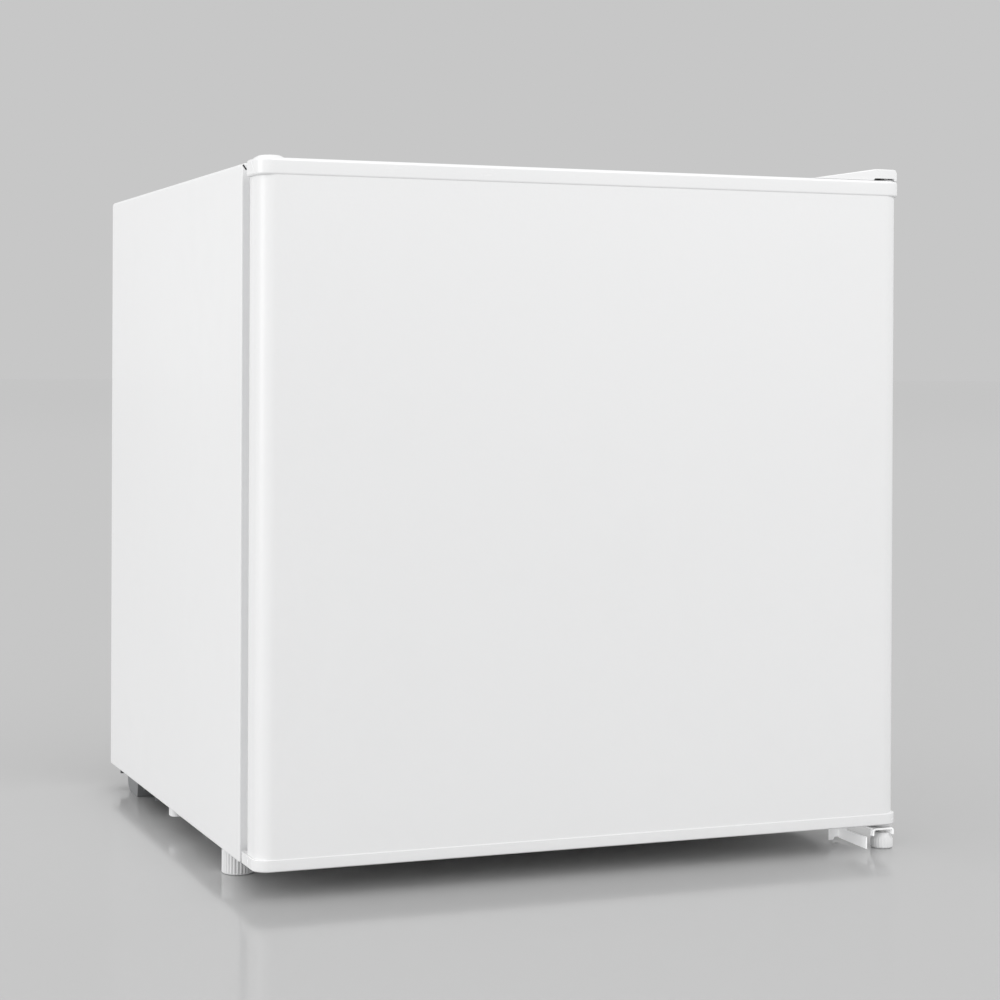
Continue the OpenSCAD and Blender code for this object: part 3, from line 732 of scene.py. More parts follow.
@dataclass(frozen=True)
class Galvanised(Finish):
    """Zinc-plated steel with a spangle of crystals and a rolled grain."""

    spangle: float = 160.0

    def dress(self, shader: Shader) -> None:
        """Builds the shader.

        Args:
            shader: the material's tree.
        """
        crystal = shader.cells(self.spangle, output="Color")
        level = shader.node("ShaderNodeSeparateColor", inputs={0: crystal})
        rolled = shader.noise(260.0, 3.0, (0.06, 1.0, 1.0))
        shader.put(
            Base_Color=shader.blend(level, self.shade(0.82), self.shade(1.08)),
            Metallic=1.0,
            Roughness=self.roughness + (level - 0.5) * 0.16 + (rolled - 0.5) * 0.08,
            Normal=shader.bump(rolled, 0.00001),
        )


@dataclass(frozen=True)
class RolledMetal(Finish):
    """Bare rolled metal with streaks along one direction and duller patches."""

    streak: Point = (0.03, 1.0, 1.0)
    tarnish: Colour = (0.6, 0.6, 0.6)
    tarnish_share: float = 0.35

    def dress(self, shader: Shader) -> None:
        """Builds the shader.

        Args:
            shader: the material's tree.
        """
        streak = shader.noise(700.0, 3.0, self.streak)
        patch = shader.noise(26.0, 5.0, rough=0.62).over(0.56, 0.16)
        shader.put(
            Base_Color=shader.blend(patch * self.tarnish_share, self.colour, self.tarnish),
            Metallic=1.0 - patch * (self.tarnish_share * 0.2),
            Roughness=self.roughness + (streak - 0.5) * 0.14 + patch * 0.14,
            Normal=shader.bump(streak, 0.000012),
        )


@dataclass(frozen=True)
class Vinyl(Finish):
    """Soft extruded vinyl or rubber with a dusty bloom."""

    bloom: float = 0.3

    def dress(self, shader: Shader) -> None:
        """Builds the shader.

        Args:
            shader: the material's tree.
        """
        speck = shader.noise(1400.0, 2.0)
        bloom = shader.noise(30.0, 5.0, rough=0.6).over(0.5, 0.2)
        shader.put(
            Base_Color=shader.blend(bloom * self.bloom, self.colour, self.shade(1.12)),
            Roughness=self.roughness + bloom * 0.12,
            Normal=shader.bump(speck, 0.00003),
            Sheen_Weight=0.08,
        )


@dataclass(frozen=True)
class Foam(Finish):
    """Cut polyurethane foam with open cells."""

    def dress(self, shader: Shader) -> None:
        """Builds the shader.

        Args:
            shader: the material's tree.
        """
        cell = shader.cells(520.0)
        patch = shader.noise(24.0, 4.0)
        shader.put(
            Base_Color=shader.blend(patch, self.shade(0.82), self.shade(1.08)),
            Roughness=self.roughness - cell * 0.1,
            Normal=shader.bump(cell, 0.0004),
        )


class Palette:
    """Every finish on the refrigerator."""

    enamel = Enamel("white_enamel_paint", "white_enamel", (0.87, 0.872, 0.875), 0.4)
    rear_enamel = Enamel("rear_enamel_paint", "white_enamel", (0.85, 0.852, 0.855), 0.4,
                         peel=0.00004)
    cap = Moulded("white_cap_gloss", "white_cap_plastic", (0.875, 0.877, 0.88), 0.24)
    foot = Moulded("white_foot_nylon", "white_foot_plastic", (0.83, 0.832, 0.835), 0.42,
                   grain=0.00004)
    liner = Moulded("liner_polystyrene", "liner_plastic", (0.83, 0.85, 0.865), 0.3)
    frosted = Moulded("frosted_polystyrene", "frosted_plastic", (0.8, 0.88, 0.92), 0.3, clear=0.55)
    knob = Moulded("grey_knob_plastic", "grey_plastic", (0.42, 0.44, 0.46), 0.38, grain=0.00005)
    grey = Moulded("grey_polypropylene", "grey_plastic", (0.22, 0.225, 0.23), 0.45, grain=0.00006)
    black_plastic = Moulded("black_relay_plastic", "dark_plastic", (0.028, 0.029, 0.031), 0.42,
                            grain=0.00006)
    black_paint = Enamel("black_shell_paint", "black_shell", (0.018, 0.018, 0.019), 0.34,
                         peel=0.00006)
    grey_paint = Enamel("grey_plate_paint", "grey_plate", (0.16, 0.165, 0.17), 0.42, coat=0.1)
    shelf_paint = Enamel("white_wire_coating", "shelf_wire", (0.8, 0.81, 0.82), 0.3, peel=0.00006)
    zinc = Galvanised("galvanised_sheet", "", (0.62, 0.64, 0.66), 0.38)
    screw = RolledMetal("bright_screw_steel", "galvanised_steel", (0.66, 0.66, 0.65), 0.3,
                        (1.0, 1.0, 0.1))
    aluminium = RolledMetal("roll_bonded_aluminium", "evaporator_aluminium", (0.82, 0.83, 0.84),
                            0.3, (0.03, 1.0, 1.0), (0.7, 0.72, 0.74), 0.3)
    foil = RolledMetal("blank_plate_foil", "", (0.86, 0.87, 0.88), 0.26, (0.02, 1.0, 1.0),
                       (0.74, 0.75, 0.76), 0.2)
    copper = RolledMetal("drawn_copper_pipe", "copper_pipe", (0.78, 0.38, 0.22), 0.28,
                         (0.5, 0.5, 0.5), (0.3, 0.15, 0.09), 0.6)
    gasket = Vinyl("gasket_vinyl_white", "gasket_vinyl", (0.72, 0.725, 0.73), 0.5, 0.2)
    rubber = Vinyl("black_rubber", "dark_rubber", (0.02, 0.02, 0.021), 0.6, 0.5)
    magnet = Vinyl("magnet_strip_rubber", "", (0.03, 0.028, 0.027), 0.66, 0.3)
    gland = Moulded("pale_gland_nylon", "grey_plastic", (0.6, 0.61, 0.62), 0.4)
    foam = Foam("insulation_foam_cells", "", (0.78, 0.66, 0.36), 0.9)
    ink = Moulded("dial_ink", "grey_plastic", (0.93, 0.94, 0.95), 0.5)


# ---------- studio ----------


@dataclass(frozen=True)
class Softbox:
    """A square lamp that lights chosen objects only."""

    name: str
    place: Point
    aim: Point
    size: float
    power: float

    def hang(self, lit: Iterable[bpy.types.Object]) -> None:
        """Makes the lamp.

        Args:
            lit: the objects that it lights.
        """
        group = bpy.data.collections.new(f"{self.name}_lights")
        for one in lit:
            group.objects.link(one)
        data = bpy.data.lights.new(self.name, "AREA")
        data.shape, data.size, data.energy = "SQUARE", self.size, self.power
        lamp = bpy.data.objects.new(self.name, data)
        lamp.location = self.place
        way = Vector(self.aim) - Vector(self.place)
        lamp.rotation_euler = way.to_track_quat("-Z", "Y").to_euler()
        lamp.light_linking.receiver_collection = group
        bpy.context.scene.collection.objects.link(lamp)


@dataclass
class Studio:
    """Camera, floor and soft lights round the refrigerator, in metres and degrees."""

    camera_place: Point = (-0.6383, -1.6741, 0.3464)
    camera_turn: float = -21.367
    camera_tilt: float = 89.717
    camera_roll: float = 0.258
    lens: float = 83.235
    sensor: float = 36.0
    drop: float = -0.1206
    floor_reach: float = 60.0
    grey: float = 0.571
    gloss: float = 0.22
    gloss_blur: float = 0.12
    sky: float = 0.8
    key: Softbox = Softbox("key_softbox", (0.6, -1.65, 1.7), (0.05, -0.22, 0.3), 1.2, 17.0)
    left: Softbox = Softbox("left_softbox", (-2.6, -0.4, 0.85), (-0.23, 0.0, 0.26), 1.6, 25.0)
    under: Softbox = Softbox("low_softbox", (-1.2, -1.2, 0.12), (0.22, -0.19, 0.0), 0.3, 16.0)

    def build(self) -> None:
        """Makes the camera, the floor and the sky."""
        view = bpy.context.scene.view_settings
        view.view_transform, view.look = "Standard", "None"
        self.set_camera()
        self.lay_floor()
        self.light_sky()

    def light(self, pieces: Sequence[bpy.types.Object], low: Sequence[bpy.types.Object]) -> None:
        """Makes the soft boxes.

        Args:
            pieces: every piece of the refrigerator.
            low: pieces under the door, which get a light of their own.
        """
        self.key.hang(pieces)
        self.left.hang(pieces)
        self.under.hang(low)

    def set_camera(self) -> None:
        """Makes the scene's camera."""
        data = bpy.data.cameras.new("camera")
        data.lens, data.sensor_width, data.shift_y = self.lens, self.sensor, self.drop
        data.dof.use_dof = False
        camera = bpy.data.objects.new("camera", data)
        camera.location = self.camera_place
        look = Euler((math.radians(self.camera_tilt), 0.0, math.radians(self.camera_turn)))
        roll = Matrix.Rotation(math.radians(self.camera_roll), 3, "Z")
        camera.rotation_euler = (look.to_matrix() @ roll).to_euler()
        bpy.context.scene.collection.objects.link(camera)
        bpy.context.scene.camera = camera

    def lay_floor(self) -> None:
        """Makes the wide pale floor, slightly glossy."""
        far = self.floor_reach
        corners = [(-far, -far, 0), (far, -far, 0), (far, far, 0), (-far, far, 0)]
        data = bpy.data.meshes.new("floor")
        data.from_pydata(corners, [], [(0, 1, 2, 3)])
        floor = bpy.data.objects.new("floor", data)
        bpy.context.scene.collection.objects.link(floor)
        shader = Shader("pale_floor")
        albedo = (self.grey - self.gloss * self.sky) / (1 - self.gloss) / self.sky
        matte = shader.node("ShaderNodeBsdfDiffuse", inputs={"Color": (albedo,) * 3})
        shine = shader.node("ShaderNodeBsdfAnisotropic",
                            inputs={"Color": (1.0,) * 3, "Roughness": self.gloss_blur})
        shader.show(shader.node("ShaderNodeMixShader", inputs={0: self.gloss, 1: matte, 2: shine}))
        data.materials.append(shader.material)
        floor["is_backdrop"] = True

    def light_sky(self) -> None:
        """Makes an even sky that is seen as the same grey as the floor."""
        world = bpy.data.worlds.new("studio_sky")
        bpy.context.scene.world = world
        world.use_nodes = True
        tree = Tree(world.node_tree)
        seen = tree.node("ShaderNodeBackground", inputs={"Color": (self.grey,) * 3})
        lit = tree.node("ShaderNodeBackground", inputs={"Color": (self.sky,) * 3})
        path = tree.node("ShaderNodeLightPath", output="Is Camera Ray")
        mix = tree.node("ShaderNodeMixShader", inputs={0: path, 1: lit, 2: seen})
        tree.node("ShaderNodeOutputWorld", inputs={0: mix})


# ---------- cabinet ----------


@dataclass
class Cabinet:
    """Painted shell and back of the cabinet."""

    sheet: float = 0.8
    fold_radius: float = 3.0
    edge_radius: float = 1.2
    front_fold: float = 16.0
    rear_fold: float = 12.0
    back_inset: float = 5.0
    box: Box = box_of("cabinet_wrapper")

    def hood(self, inset: float) -> list[tuple[float, float]]:
        """Draws the shell seen from the front, with its two bottom returns.

        Args:
            inset: distance inside the outer surface.

        Returns:
            Points from the left bottom return over the top to the right one.
        """
        top = max(self.fold_radius - inset, 0.2)
        low = max(self.edge_radius - inset, 0.2)
        b, reach = self.box, max(self.rear_fold, inset + 0.5)
        left, right, base = b.x0 + inset, b.x1 - inset, b.z0 + inset
        return [
            (b.x0 + reach, base),
            *arc(left + low, base + low, low, 270, 180, 3),
            *arc(left + top, b.z1 - inset - top, top, 180, 90, 6),
            *arc(right - top, b.z1 - inset - top, top, 90, 0, 6),
            *arc(right - low, base + low, low, 0, -90, 3),
            (b.x1 - reach, base),
        ]

    def wrapper(self) -> None:
        """Makes the folded shell with its front and rear returns."""
        y0, y1, t = self.box.y0, self.box.y1, self.sheet
        back = y1 - self.back_inset
        e = self.edge_radius
        outer = [(e - e * math.sin(a), y0 + e - e * math.cos(a)) for a in quarter(4)]
        loop = [
            (self.front_fold, y0), *outer, (0.0, y1 - 0.3), (0.25, y1), (t, y1 - 0.1),
            (t, back + t), (self.rear_fold, back + t), (self.rear_fold, back), (t, back),
            (t, y0 + e), (e + 0.3, y0 + t), (self.front_fold, y0 + t),
        ]
        hoods = [self.hood(inset) for inset, _ in loop]
        rings = [
            [Vector((hood[i][0], y, hood[i][1])) for hood, (_, y) in zip(hoods, loop)]
            for i in range(len(hoods[0]))
        ]
        Solid().loft(rings).piece("cabinet_shell", Palette.enamel, "cabinet_wrapper")

    def back(self) -> None:
        """Makes the back sheet with its pressed beads and the pan-head screws."""
        b = Box.of("back_panel")
        face = b.y1 - 1.2
        panel = Solid().block((b.x0, b.y0, b.z0), (b.x1, face, b.z1), 0.35)
        for i in range(5):
            middle = b.z0 + 53 + 48 * i
            profile = [(0.0, face - 0.3), (0.5, face + 0.35), (1.4, face + 0.9), (2.6, b.y1)]
            panel.loft(inset_rings(Plane.XZ, (-170, middle - 4, 170, middle + 4), 3.9, profile))
        panel.piece("back_sheet", Palette.rear_enamel, "back_panel")

        screws = Solid()
        side = self.box.x1 - 7
        rows = (b.z0 + 19, (b.z0 + self.box.z1 - 1) / 2, self.box.z1 - 20)
        spots = [(s * side, z) for s in (-1, 1) for z in rows]
        spots += [(150.0 * s, b.z0 + 8) for s in (-1, 0, 1)]
        for x, z in spots:
            profile = [(1.7, -1.0), (4.0, 0.0), (4.0, 0.5), (3.4, 1.5), (2.2, 1.95), (0.9, 1.98)]
            screws.turned(Plane.XZ, profile, (x, face, z), 24)
        screws.piece("back_panel_screws", Palette.screw, "back_screws")

    def corner_reliefs(self) -> None:
        """Makes black bars that paint the shade in the relief notches where the top and side
        returns meet.
        """
        shade_bars = Solid()
        b, y = self.box, self.box.y0 - 0.1
        for s in (-1, 1):
            side = s * b.x1
            shade_bars.pipe([Vector((side - s * 0.7, y, b.z1 - 1.2)),
                        Vector((side - s * 3.2, y, b.z1 - 4.4))], 0.5, 10)
        # black rubber bars stand in for the painted shade in the corner notches, not for a real
        # part
        shade_bars.piece("painted_shade_corner_notches", Palette.rubber, slot="white_enamel")

    def rear_feet(self) -> None:
        """Makes the two grey rear feet."""
        b = Box.of("rear_feet")
        feet = Solid()
        wide = 24.0
        for x0 in (b.x0, b.x1 - wide):
            outline = [(b.y0, b.z1), (b.y0 + 2.8, 1.2), (b.y0 + 4.0, 0.0), (b.y1 - 10.5, 0.0),
                       (b.y1 - 8.0, 0.6), (b.y1 - 3.2, 4.0), (b.y1 - 1.8, 6.0), (b.y1, b.z1)]
            feet.prism(Plane.YZ, outline, x0, x0 + wide, 0.8)
            for k in range(3):
                rib = x0 + 5 + 7 * k
                feet.block((rib, b.y0 + 0.4, 5.0), (rib + 1.6, b.y0 + 2.6, b.z1 - 1), 0.3)
        feet.piece("rear_feet_moulded", Palette.grey, "rear_feet")

    def build(self) -> None:
        """Makes every piece of the cabinet."""
        self.wrapper()
        self.back()
        self.rear_feet()
        self.corner_reliefs()
        carry(Palette.enamel, "base_plate")
        carry(Palette.foot, "foam_plugs")
        carry(Palette.zinc, "bay_panel", "foot_nut")
        carry(Palette.foam, "cabinet_foam")
        carry(Palette.copper, "condenser_coil")
        carry(Palette.foil, "rating_plate")


@dataclass
class ColdCompartment:
    """Vacuum-formed liner with its shelf."""

    box: Box = box_of("inner_liner")
    shelf: Box = box_of("wire_shelf")
    wall_x: float = 204.0
    floor_z: float = 57.5
    roof_z: float = 445.5
    back_y: float = 183.0
    step_y: float = 40.0
    step_z: float = 217.0
    corner: float = 12.0
    mouth: float = 4.0
    sheet: float = 1.2
    ledges: tuple[float, ...] = (224.0, 140.0)

    def section(self, level: float, inset: float = 0.0, base: float | None = None) -> Ring:
        """Draws the compartment's outline at a depth.

        Args:
            level: depth along Y.
            inset: distance inside the walls, or outside if it is negative.
            base: height of the floor there.

        Returns:
            The ring.
        """
        base = self.floor_z if base is None else base
        corner = max(self.corner - inset, 0.5)
        sides = (inset - self.wall_x, base + inset, self.wall_x - inset, self.roof_z - inset)
        return ring(Plane.XZ, rounded(*sides, (corner, corner), 6), level)

    def liner(self) -> None:
        """Makes the liner's front flange, mouth, walls, step and back."""
        b, m, c = self.box, self.mouth, self.corner
        face = b.y0
        rings = inset_rings(Plane.XZ, (b.x0, b.z0, b.x1, b.z1), 6, [(0.0, face)], 6)
        for a in quarter(4):
            rings.append(self.section(face + m - m * math.cos(a), m * math.sin(a) - m))
        rings.append(self.section(self.step_y - c))
        for a in quarter(5)[1:]:
            rings.append(self.section(self.step_y - c + c * math.sin(a),
                                      base=self.floor_z + c - c * math.cos(a)))
        for a in quarter(5):
            rings.append(self.section(self.step_y + c - c * math.cos(a),
                                      base=self.step_z - c + c * math.sin(a)))
        for a in quarter(5):
            rings.append(self.section(self.back_y - c + c * math.sin(a), c - c * math.cos(a),
                                      self.step_z))
        shell = Solid().loft(rings)
        bmesh.ops.delete(shell.mesh, geom=[f for f in shell.mesh.faces if len(f.verts) > 4][:1],
                         context="FACES_ONLY")
        made = shell.piece("liner_shell", Palette.liner, "inner_liner")
        thick = made.modifiers.new("sheet", "SOLIDIFY")
        thick.thickness, thick.offset = self.sheet / METRE, -1.0

    def shelf_ledges(self) -> None:
        """Makes the moulded ledges on both side walls."""
        ledges = Solid()
        front = self.shelf.y0 - 58
        for s in (-1, 1):
            for top in self.ledges:
                back = self.back_y + 0.6 if top > self.step_z else self.step_y + 0.6
                wall, tip = s * (self.wall_x + 0.8), s * (self.wall_x - 6.9)
                low, high = min(wall, tip), max(wall, tip)
                ledges.block((low, front, top - 6.0), (high, back, top), 2.2, 3)
        ledges.piece("shelf_ledges", Palette.liner)

    def wire_shelf(self) -> None:
        """Makes the coated wire shelf: a rim, two cross bars and the wires."""
        b = self.shelf
        z, rim, wire = (b.z0 + b.z1) / 2, 2.5, 1.5
        x, y0, y1 = b.x1 - rim, b.y0 + rim, b.y1 - rim
        loop = [Vector((u, v, z)) for u, v in rounded(-x, y0, x, y1, (9, 9), 6)]
        shelf = Solid().pipe(loop, rim, 14, True)
        for y in (y0 + 26, y1 - 30):
            bar = [Vector((-x, y, z - 0.3)), Vector((x, y, z - 0.3))]
            shelf.pipe(bar, 2.0, 12)
        count = 14
        for i in range(1, count + 1):
            at = -x + 2 * x * i / (count + 1)
            line = [Vector((at, y0, z)), Vector((at, y1, z))]
            shelf.pipe(line, wire, 12)
        shelf.piece("coated_shelf", Palette.shelf_paint, "wire_shelf")

    def build(self) -> None:
        """Makes the liner and the shelf."""
        self.liner()
        self.shelf_ledges()
        self.wire_shelf()


@dataclass
class IceBox:
    """Roll-bonded ice box with its frame, flap, clips, rails and drip tray."""

    box: Box = box_of("ice_box")
    frame_box: Box = box_of("ice_box_frame")
    flap_box: Box = box_of("ice_box_flap")
    tray_box: Box = box_of("drip_tray")
    pivot: Vector = place_of("flap_hinge")
    wall: float = 1.5
    skin: float = 1.0

    def evaporator(self) -> None:
        """Makes the folded aluminium box with the raised channels on its faces."""
        b, w = self.box, self.wall
        x1, z0 = b.x1 - self.skin, b.z0 + self.skin
        rect = (b.x0, z0, x1, b.z1)
        outside = [(0.4, b.y0), (0.0, b.y0 + 0.5), (0.0, b.y1 - 5), (1.4, b.y1 - 1.4),
                   (5.0, b.y1)]
        inside = [(6.0, b.y1 - w), (2.6, b.y1 - 3), (w, b.y1 - 6), (w, b.y0 + 0.5),
                  (w - 0.4, b.y0)]
        shell = Solid()
        outer = inset_rings(Plane.XZ, rect, 7, outside, 5)
        inner = inset_rings(Plane.XZ, rect, 7, inside, 5)
        shell.loft([*reversed(outer), *reversed(inner)])
        shell.piece("evaporator_box", Palette.aluminium, "ice_box")

        channels = Solid()
        r, low = 2.6, z0 + 1.4
        runs = 8
        pitch = (x1 - b.x0 - 40) / (runs - 1)
        line = []
        for i in range(runs):
            x = b.x0 + 20 + pitch * i
            ends = (b.y0 + 16, b.y1 - 16) if i % 2 == 0 else (b.y1 - 16, b.y0 + 16)
            line += [(x, ends[0], low), (x, ends[1], low)]
        channels.pipe(route(line, 14), r, 12)
        side = x1 - 1.4
        line = []
        for i in range(4):
            z = b.z0 + 20 + 21 * i
            ends = (b.y0 + 16, b.y1 - 16) if i % 2 == 0 else (b.y1 - 16, b.y0 + 16)
            line += [(side, ends[0], z), (side, ends[1], z)]
        channels.pipe(route(line, 10), r - 0.2, 12)
        channels.piece("evaporator_channels", Palette.aluminium)

    def front_frame(self) -> None:
        """Makes the moulded frame round the mouth, with the hinge ears."""
        f, b = self.frame_box, self.box
        y0, y1 = b.y0 - 6, b.y0
        inner = (b.x0 + 6, b.z0 + 5, b.x1 - 7, b.z1 - 8)
        outer = (f.x0, f.z0, f.x1, f.z1)
        rings = inset_rings(Plane.XZ, outer, 5, [(0.0, y1), (0.0, y0 + 1.4), (0.4, y0 + 0.4),
                                                 (1.4, y0)])
        rings += inset_rings(Plane.XZ, inner, 5, [(-1.4, y0), (-0.4, y0 + 0.4), (0.0, y0 + 1.4),
                                                  (0.0, y1)])
        shell = Solid().loft(rings, True)
        pivot = self.pivot
        for x0 in (f.x0, f.x1 - 3):
            outline = rounded(f.y0, pivot.z - 8, y0 + 1, pivot.z + 8, (2.4, 2.4), 4)
            shell.prism(Plane.YZ, outline, x0, x0 + 3, 0.5)
        shell.piece("ice_box_bezel", Palette.liner, "ice_box_frame")

    def flap(self) -> None:
        """Makes the frosted flap with its barrel, stiffening rim and finger lip."""
        b, p = self.flap_box, self.pivot
        x0, x1 = b.x0 + 3.6, b.x1 - 3.6
        low, back = b.z0, p.y + 2
        door = Solid().turned(
            Plane.YZ, [(3.4, 0.0), (4.0, 0.6), (4.0, x1 - x0 - 0.6), (3.4, x1 - x0)],
            (x0, p.y, p.z), 28,
        )
        span = b.x1 - b.x0
        door.turned(Plane.YZ, [(1.6, 0.0), (2.0, 0.4), (2.0, span - 0.4), (1.6, span)],
                    (b.x0, p.y, p.z), 24)
        rect = (x0, low, x1, p.z - 1)
        profile = [(0.6, back), (0.0, back - 0.6), (0.0, back - 2.2), (0.8, back - 3),
                   (4.0, back - 3), (5.0, back - 2.2)]
        door.loft(inset_rings(Plane.XZ, rect, 3, profile))
        middle = (x0 + x1) / 2
        door.block((middle - 30, b.y0, low), (middle + 30, p.y, low + 3.2), 1.2, 3)
        for k in range(5):
            z = low + 14 + k * 5
            door.block((middle - 46, p.y - 1.9, z), (middle + 46, p.y - 0.6, z + 1.6), 0.5)
        door.piece("frosted_flap", Palette.frosted, "ice_box_flap", body=Body.FLAP)

    def tray(self) -> None:
        """Makes the drip tray with its rim, ribs and front plate."""
        b, front = self.tray_box, self.box.y0
        rim, left, right = b.z1, self.box.x0 + 2.5, self.box.x1 - 3.5
        tub = (left + 6, front - 1.6, right - 6, b.y1)
        profile = [(4.0, b.z0 + 2.2), (1.6, b.z0 + 3.0), (0.6, b.z0 + 5.0), (0.0, rim - 2.4)]
        inner = [(1.9, rim - 0.2), (2.3, b.z0 + 6.0), (3.4, b.z0 + 4.8), (5.6, b.z0 + 4.2)]
        rim_rings = [
            ring(Plane.XY, rounded(left, front + 1, right, b.y1, (3, 3)), rim - 1.9),
            ring(Plane.XY, rounded(left - 0.01, front + 1, right, b.y1, (3, 3)), rim - 0.4),
            ring(Plane.XY, rounded(left + 0.4, front + 1.4, right - 0.4, b.y1 - 0.4, (3, 3)), rim),
        ]
        rings = inset_rings(Plane.XY, tub, 8, profile) + rim_rings
        rings += inset_rings(Plane.XY, tub, 8, inner)
        tray = Solid().loft(rings)
        plate = (b.x0, b.z0, b.x1, self.box.z0 - 7)
        profile = [(0.6, front - 1.0), (0.0, front - 1.6), (0.0, front - 3.2), (0.8, front - 4.0)]
        tray.loft(inset_rings(Plane.XZ, plate, 3, profile))
        for k in range(3):
            y = front + 45 + 60 * k
            tray.block((tub[0] + 8, y, b.z0 + 3.6), (tub[2] - 8, y + 2, b.z0 + 5.4), 0.6)
        tray.piece("frosted_drip_tray", Palette.frosted, "drip_tray", body=Body.TRAY)

    def build(self) -> None:
        """Makes every piece of the ice box."""
        self.evaporator()
        self.front_frame()
        self.flap()
        self.tray()
        carry(Palette.liner, "ice_box_clips", "tray_rails")


@dataclass
class Thermostat:
    """Housing, knob and dial under the roof of the compartment."""

    box: Box = box_of("thermostat_housing")
    knob_box: Box = box_of("thermostat_knob")
    axle: Vector = place_of("knob_turn")

    def housing(self) -> None:
        """Makes the moulded housing with its vents and pointer."""
        b, a = self.box, self.axle
        profile = [(2.2, b.z0), (0.6, b.z0 + 0.6), (0.0, b.z0 + 2.2), (0.0, b.z1 - 0.4)]
        shell = Solid().loft(inset_rings(Plane.XY, (b.x0, b.y0, b.x1, b.y1), 6, profile))
        for k in range(7):
            y = b.y0 + 34 + 9 * k
            shell.block((b.x0 - 0.7, y, b.z0 + 8), (b.x0 + 0.6, y + 4, b.z1 - 8), 0.5)
            shell.block((b.x1 - 0.6, y, b.z0 + 8), (b.x1 + 0.7, y + 4, b.z1 - 8), 0.5)
        shell.prism(
            Plane.XZ, [(a.x - 2.2, b.z1 - 0.6), (a.x + 2.2, b.z1 - 0.6), (a.x, b.z1 - 4.0)],
            b.y0 - 0.7, b.y0 + 0.5,
        )
        shell.piece("thermostat_cover", Palette.liner, "thermostat_housing")

    def knob(self) -> None:
        """Makes the ribbed knob with its grip and its numbers."""
        b, a = self.knob_box, self.axle
        face = b.y0 + 10
        teeth = 40
        disc = []
        for radius, level in ((15.6, face + 7.6), (16.9, face + 6.6), (16.9, face + 1.4),
                              (16.1, face + 0.3), (14.8, face)):
            turns = [math.tau * k / (teeth * 2) for k in range(teeth * 2)]
            spots = [(radius - (0.5 if k % 2 else 0.0), t) for k, t in enumerate(turns)]
            disc.append(ring(Plane.XZ, [(a.x + r * math.cos(t), a.z + r * math.sin(t))
                                        for r, t in spots], level))
        knob = Solid().loft(disc)
        grip = (a.x - 4, a.z - 15, a.x + 4, a.z + 15)
        knob.loft(inset_rings(Plane.XZ, grip, 3.8, [(0.0, face + 0.5), (0.3, face - 6),
                                                    (1.0, b.y0 + 0.8), (2.0, b.y0)]))
        knob.turned(Plane.XZ, [(3.0, 7.0), (3.0, b.y1 - face)], (a.x, face, a.z), 24)
        knob.piece("ribbed_knob", Palette.knob, "thermostat_knob", body=Body.KNOB)

        marks = Solid()
        marks.block((a.x - 0.6, b.y0 - 0.06, a.z + 6), (a.x + 0.6, b.y0 + 0.2, a.z + 13.6), 0.02, 1)
        for number in range(8):
            self.number(marks.mesh, str(number), 360 / 9 * (number + 1), face)
        marks.piece("dial_numbers", Palette.ink, body=Body.KNOB)

    def number(self, mesh: bmesh.types.BMesh, text: str, angle: float, face: float) -> None:
        """Adds one number to the dial's face.

        Args:
            mesh: mesh that takes it.
            text: the number.
            angle: its place round the dial, in degrees from the top.
            face: level of the dial's face.
        """
        curve = bpy.data.curves.new("number", "FONT")
        curve.body, curve.size, curve.extrude = text, 5.0, 0.05
        curve.align_x, curve.align_y = "CENTER", "CENTER"
        held = bpy.data.objects.new("number", curve)
        bpy.context.scene.collection.objects.link(held)
        flat = bpy.data.meshes.new_from_object(held)
        turn = Matrix.Rotation(math.radians(angle), 4, "Y")
        spot = Matrix.Translation(self.axle * Vector((1, 0, 1)) + Vector((0, face, 0)))
        lift = Matrix.Translation((0, 0, 11.6))
        upright = Matrix.Rotation(math.radians(90), 4, "X")
        flat.transform(spot @ turn @ lift @ upright)
        mesh.from_mesh(flat)
        bpy.data.objects.remove(held)
        bpy.data.curves.remove(curve)
        bpy.data.meshes.remove(flat)

    def build(self) -> None:
        """Makes the housing and the knob."""
        self.housing()
        self.knob()
        carry(Palette.zinc, "thermostat_control")
        carry(Palette.copper, "sensing_tube")


# ---------- door ----------


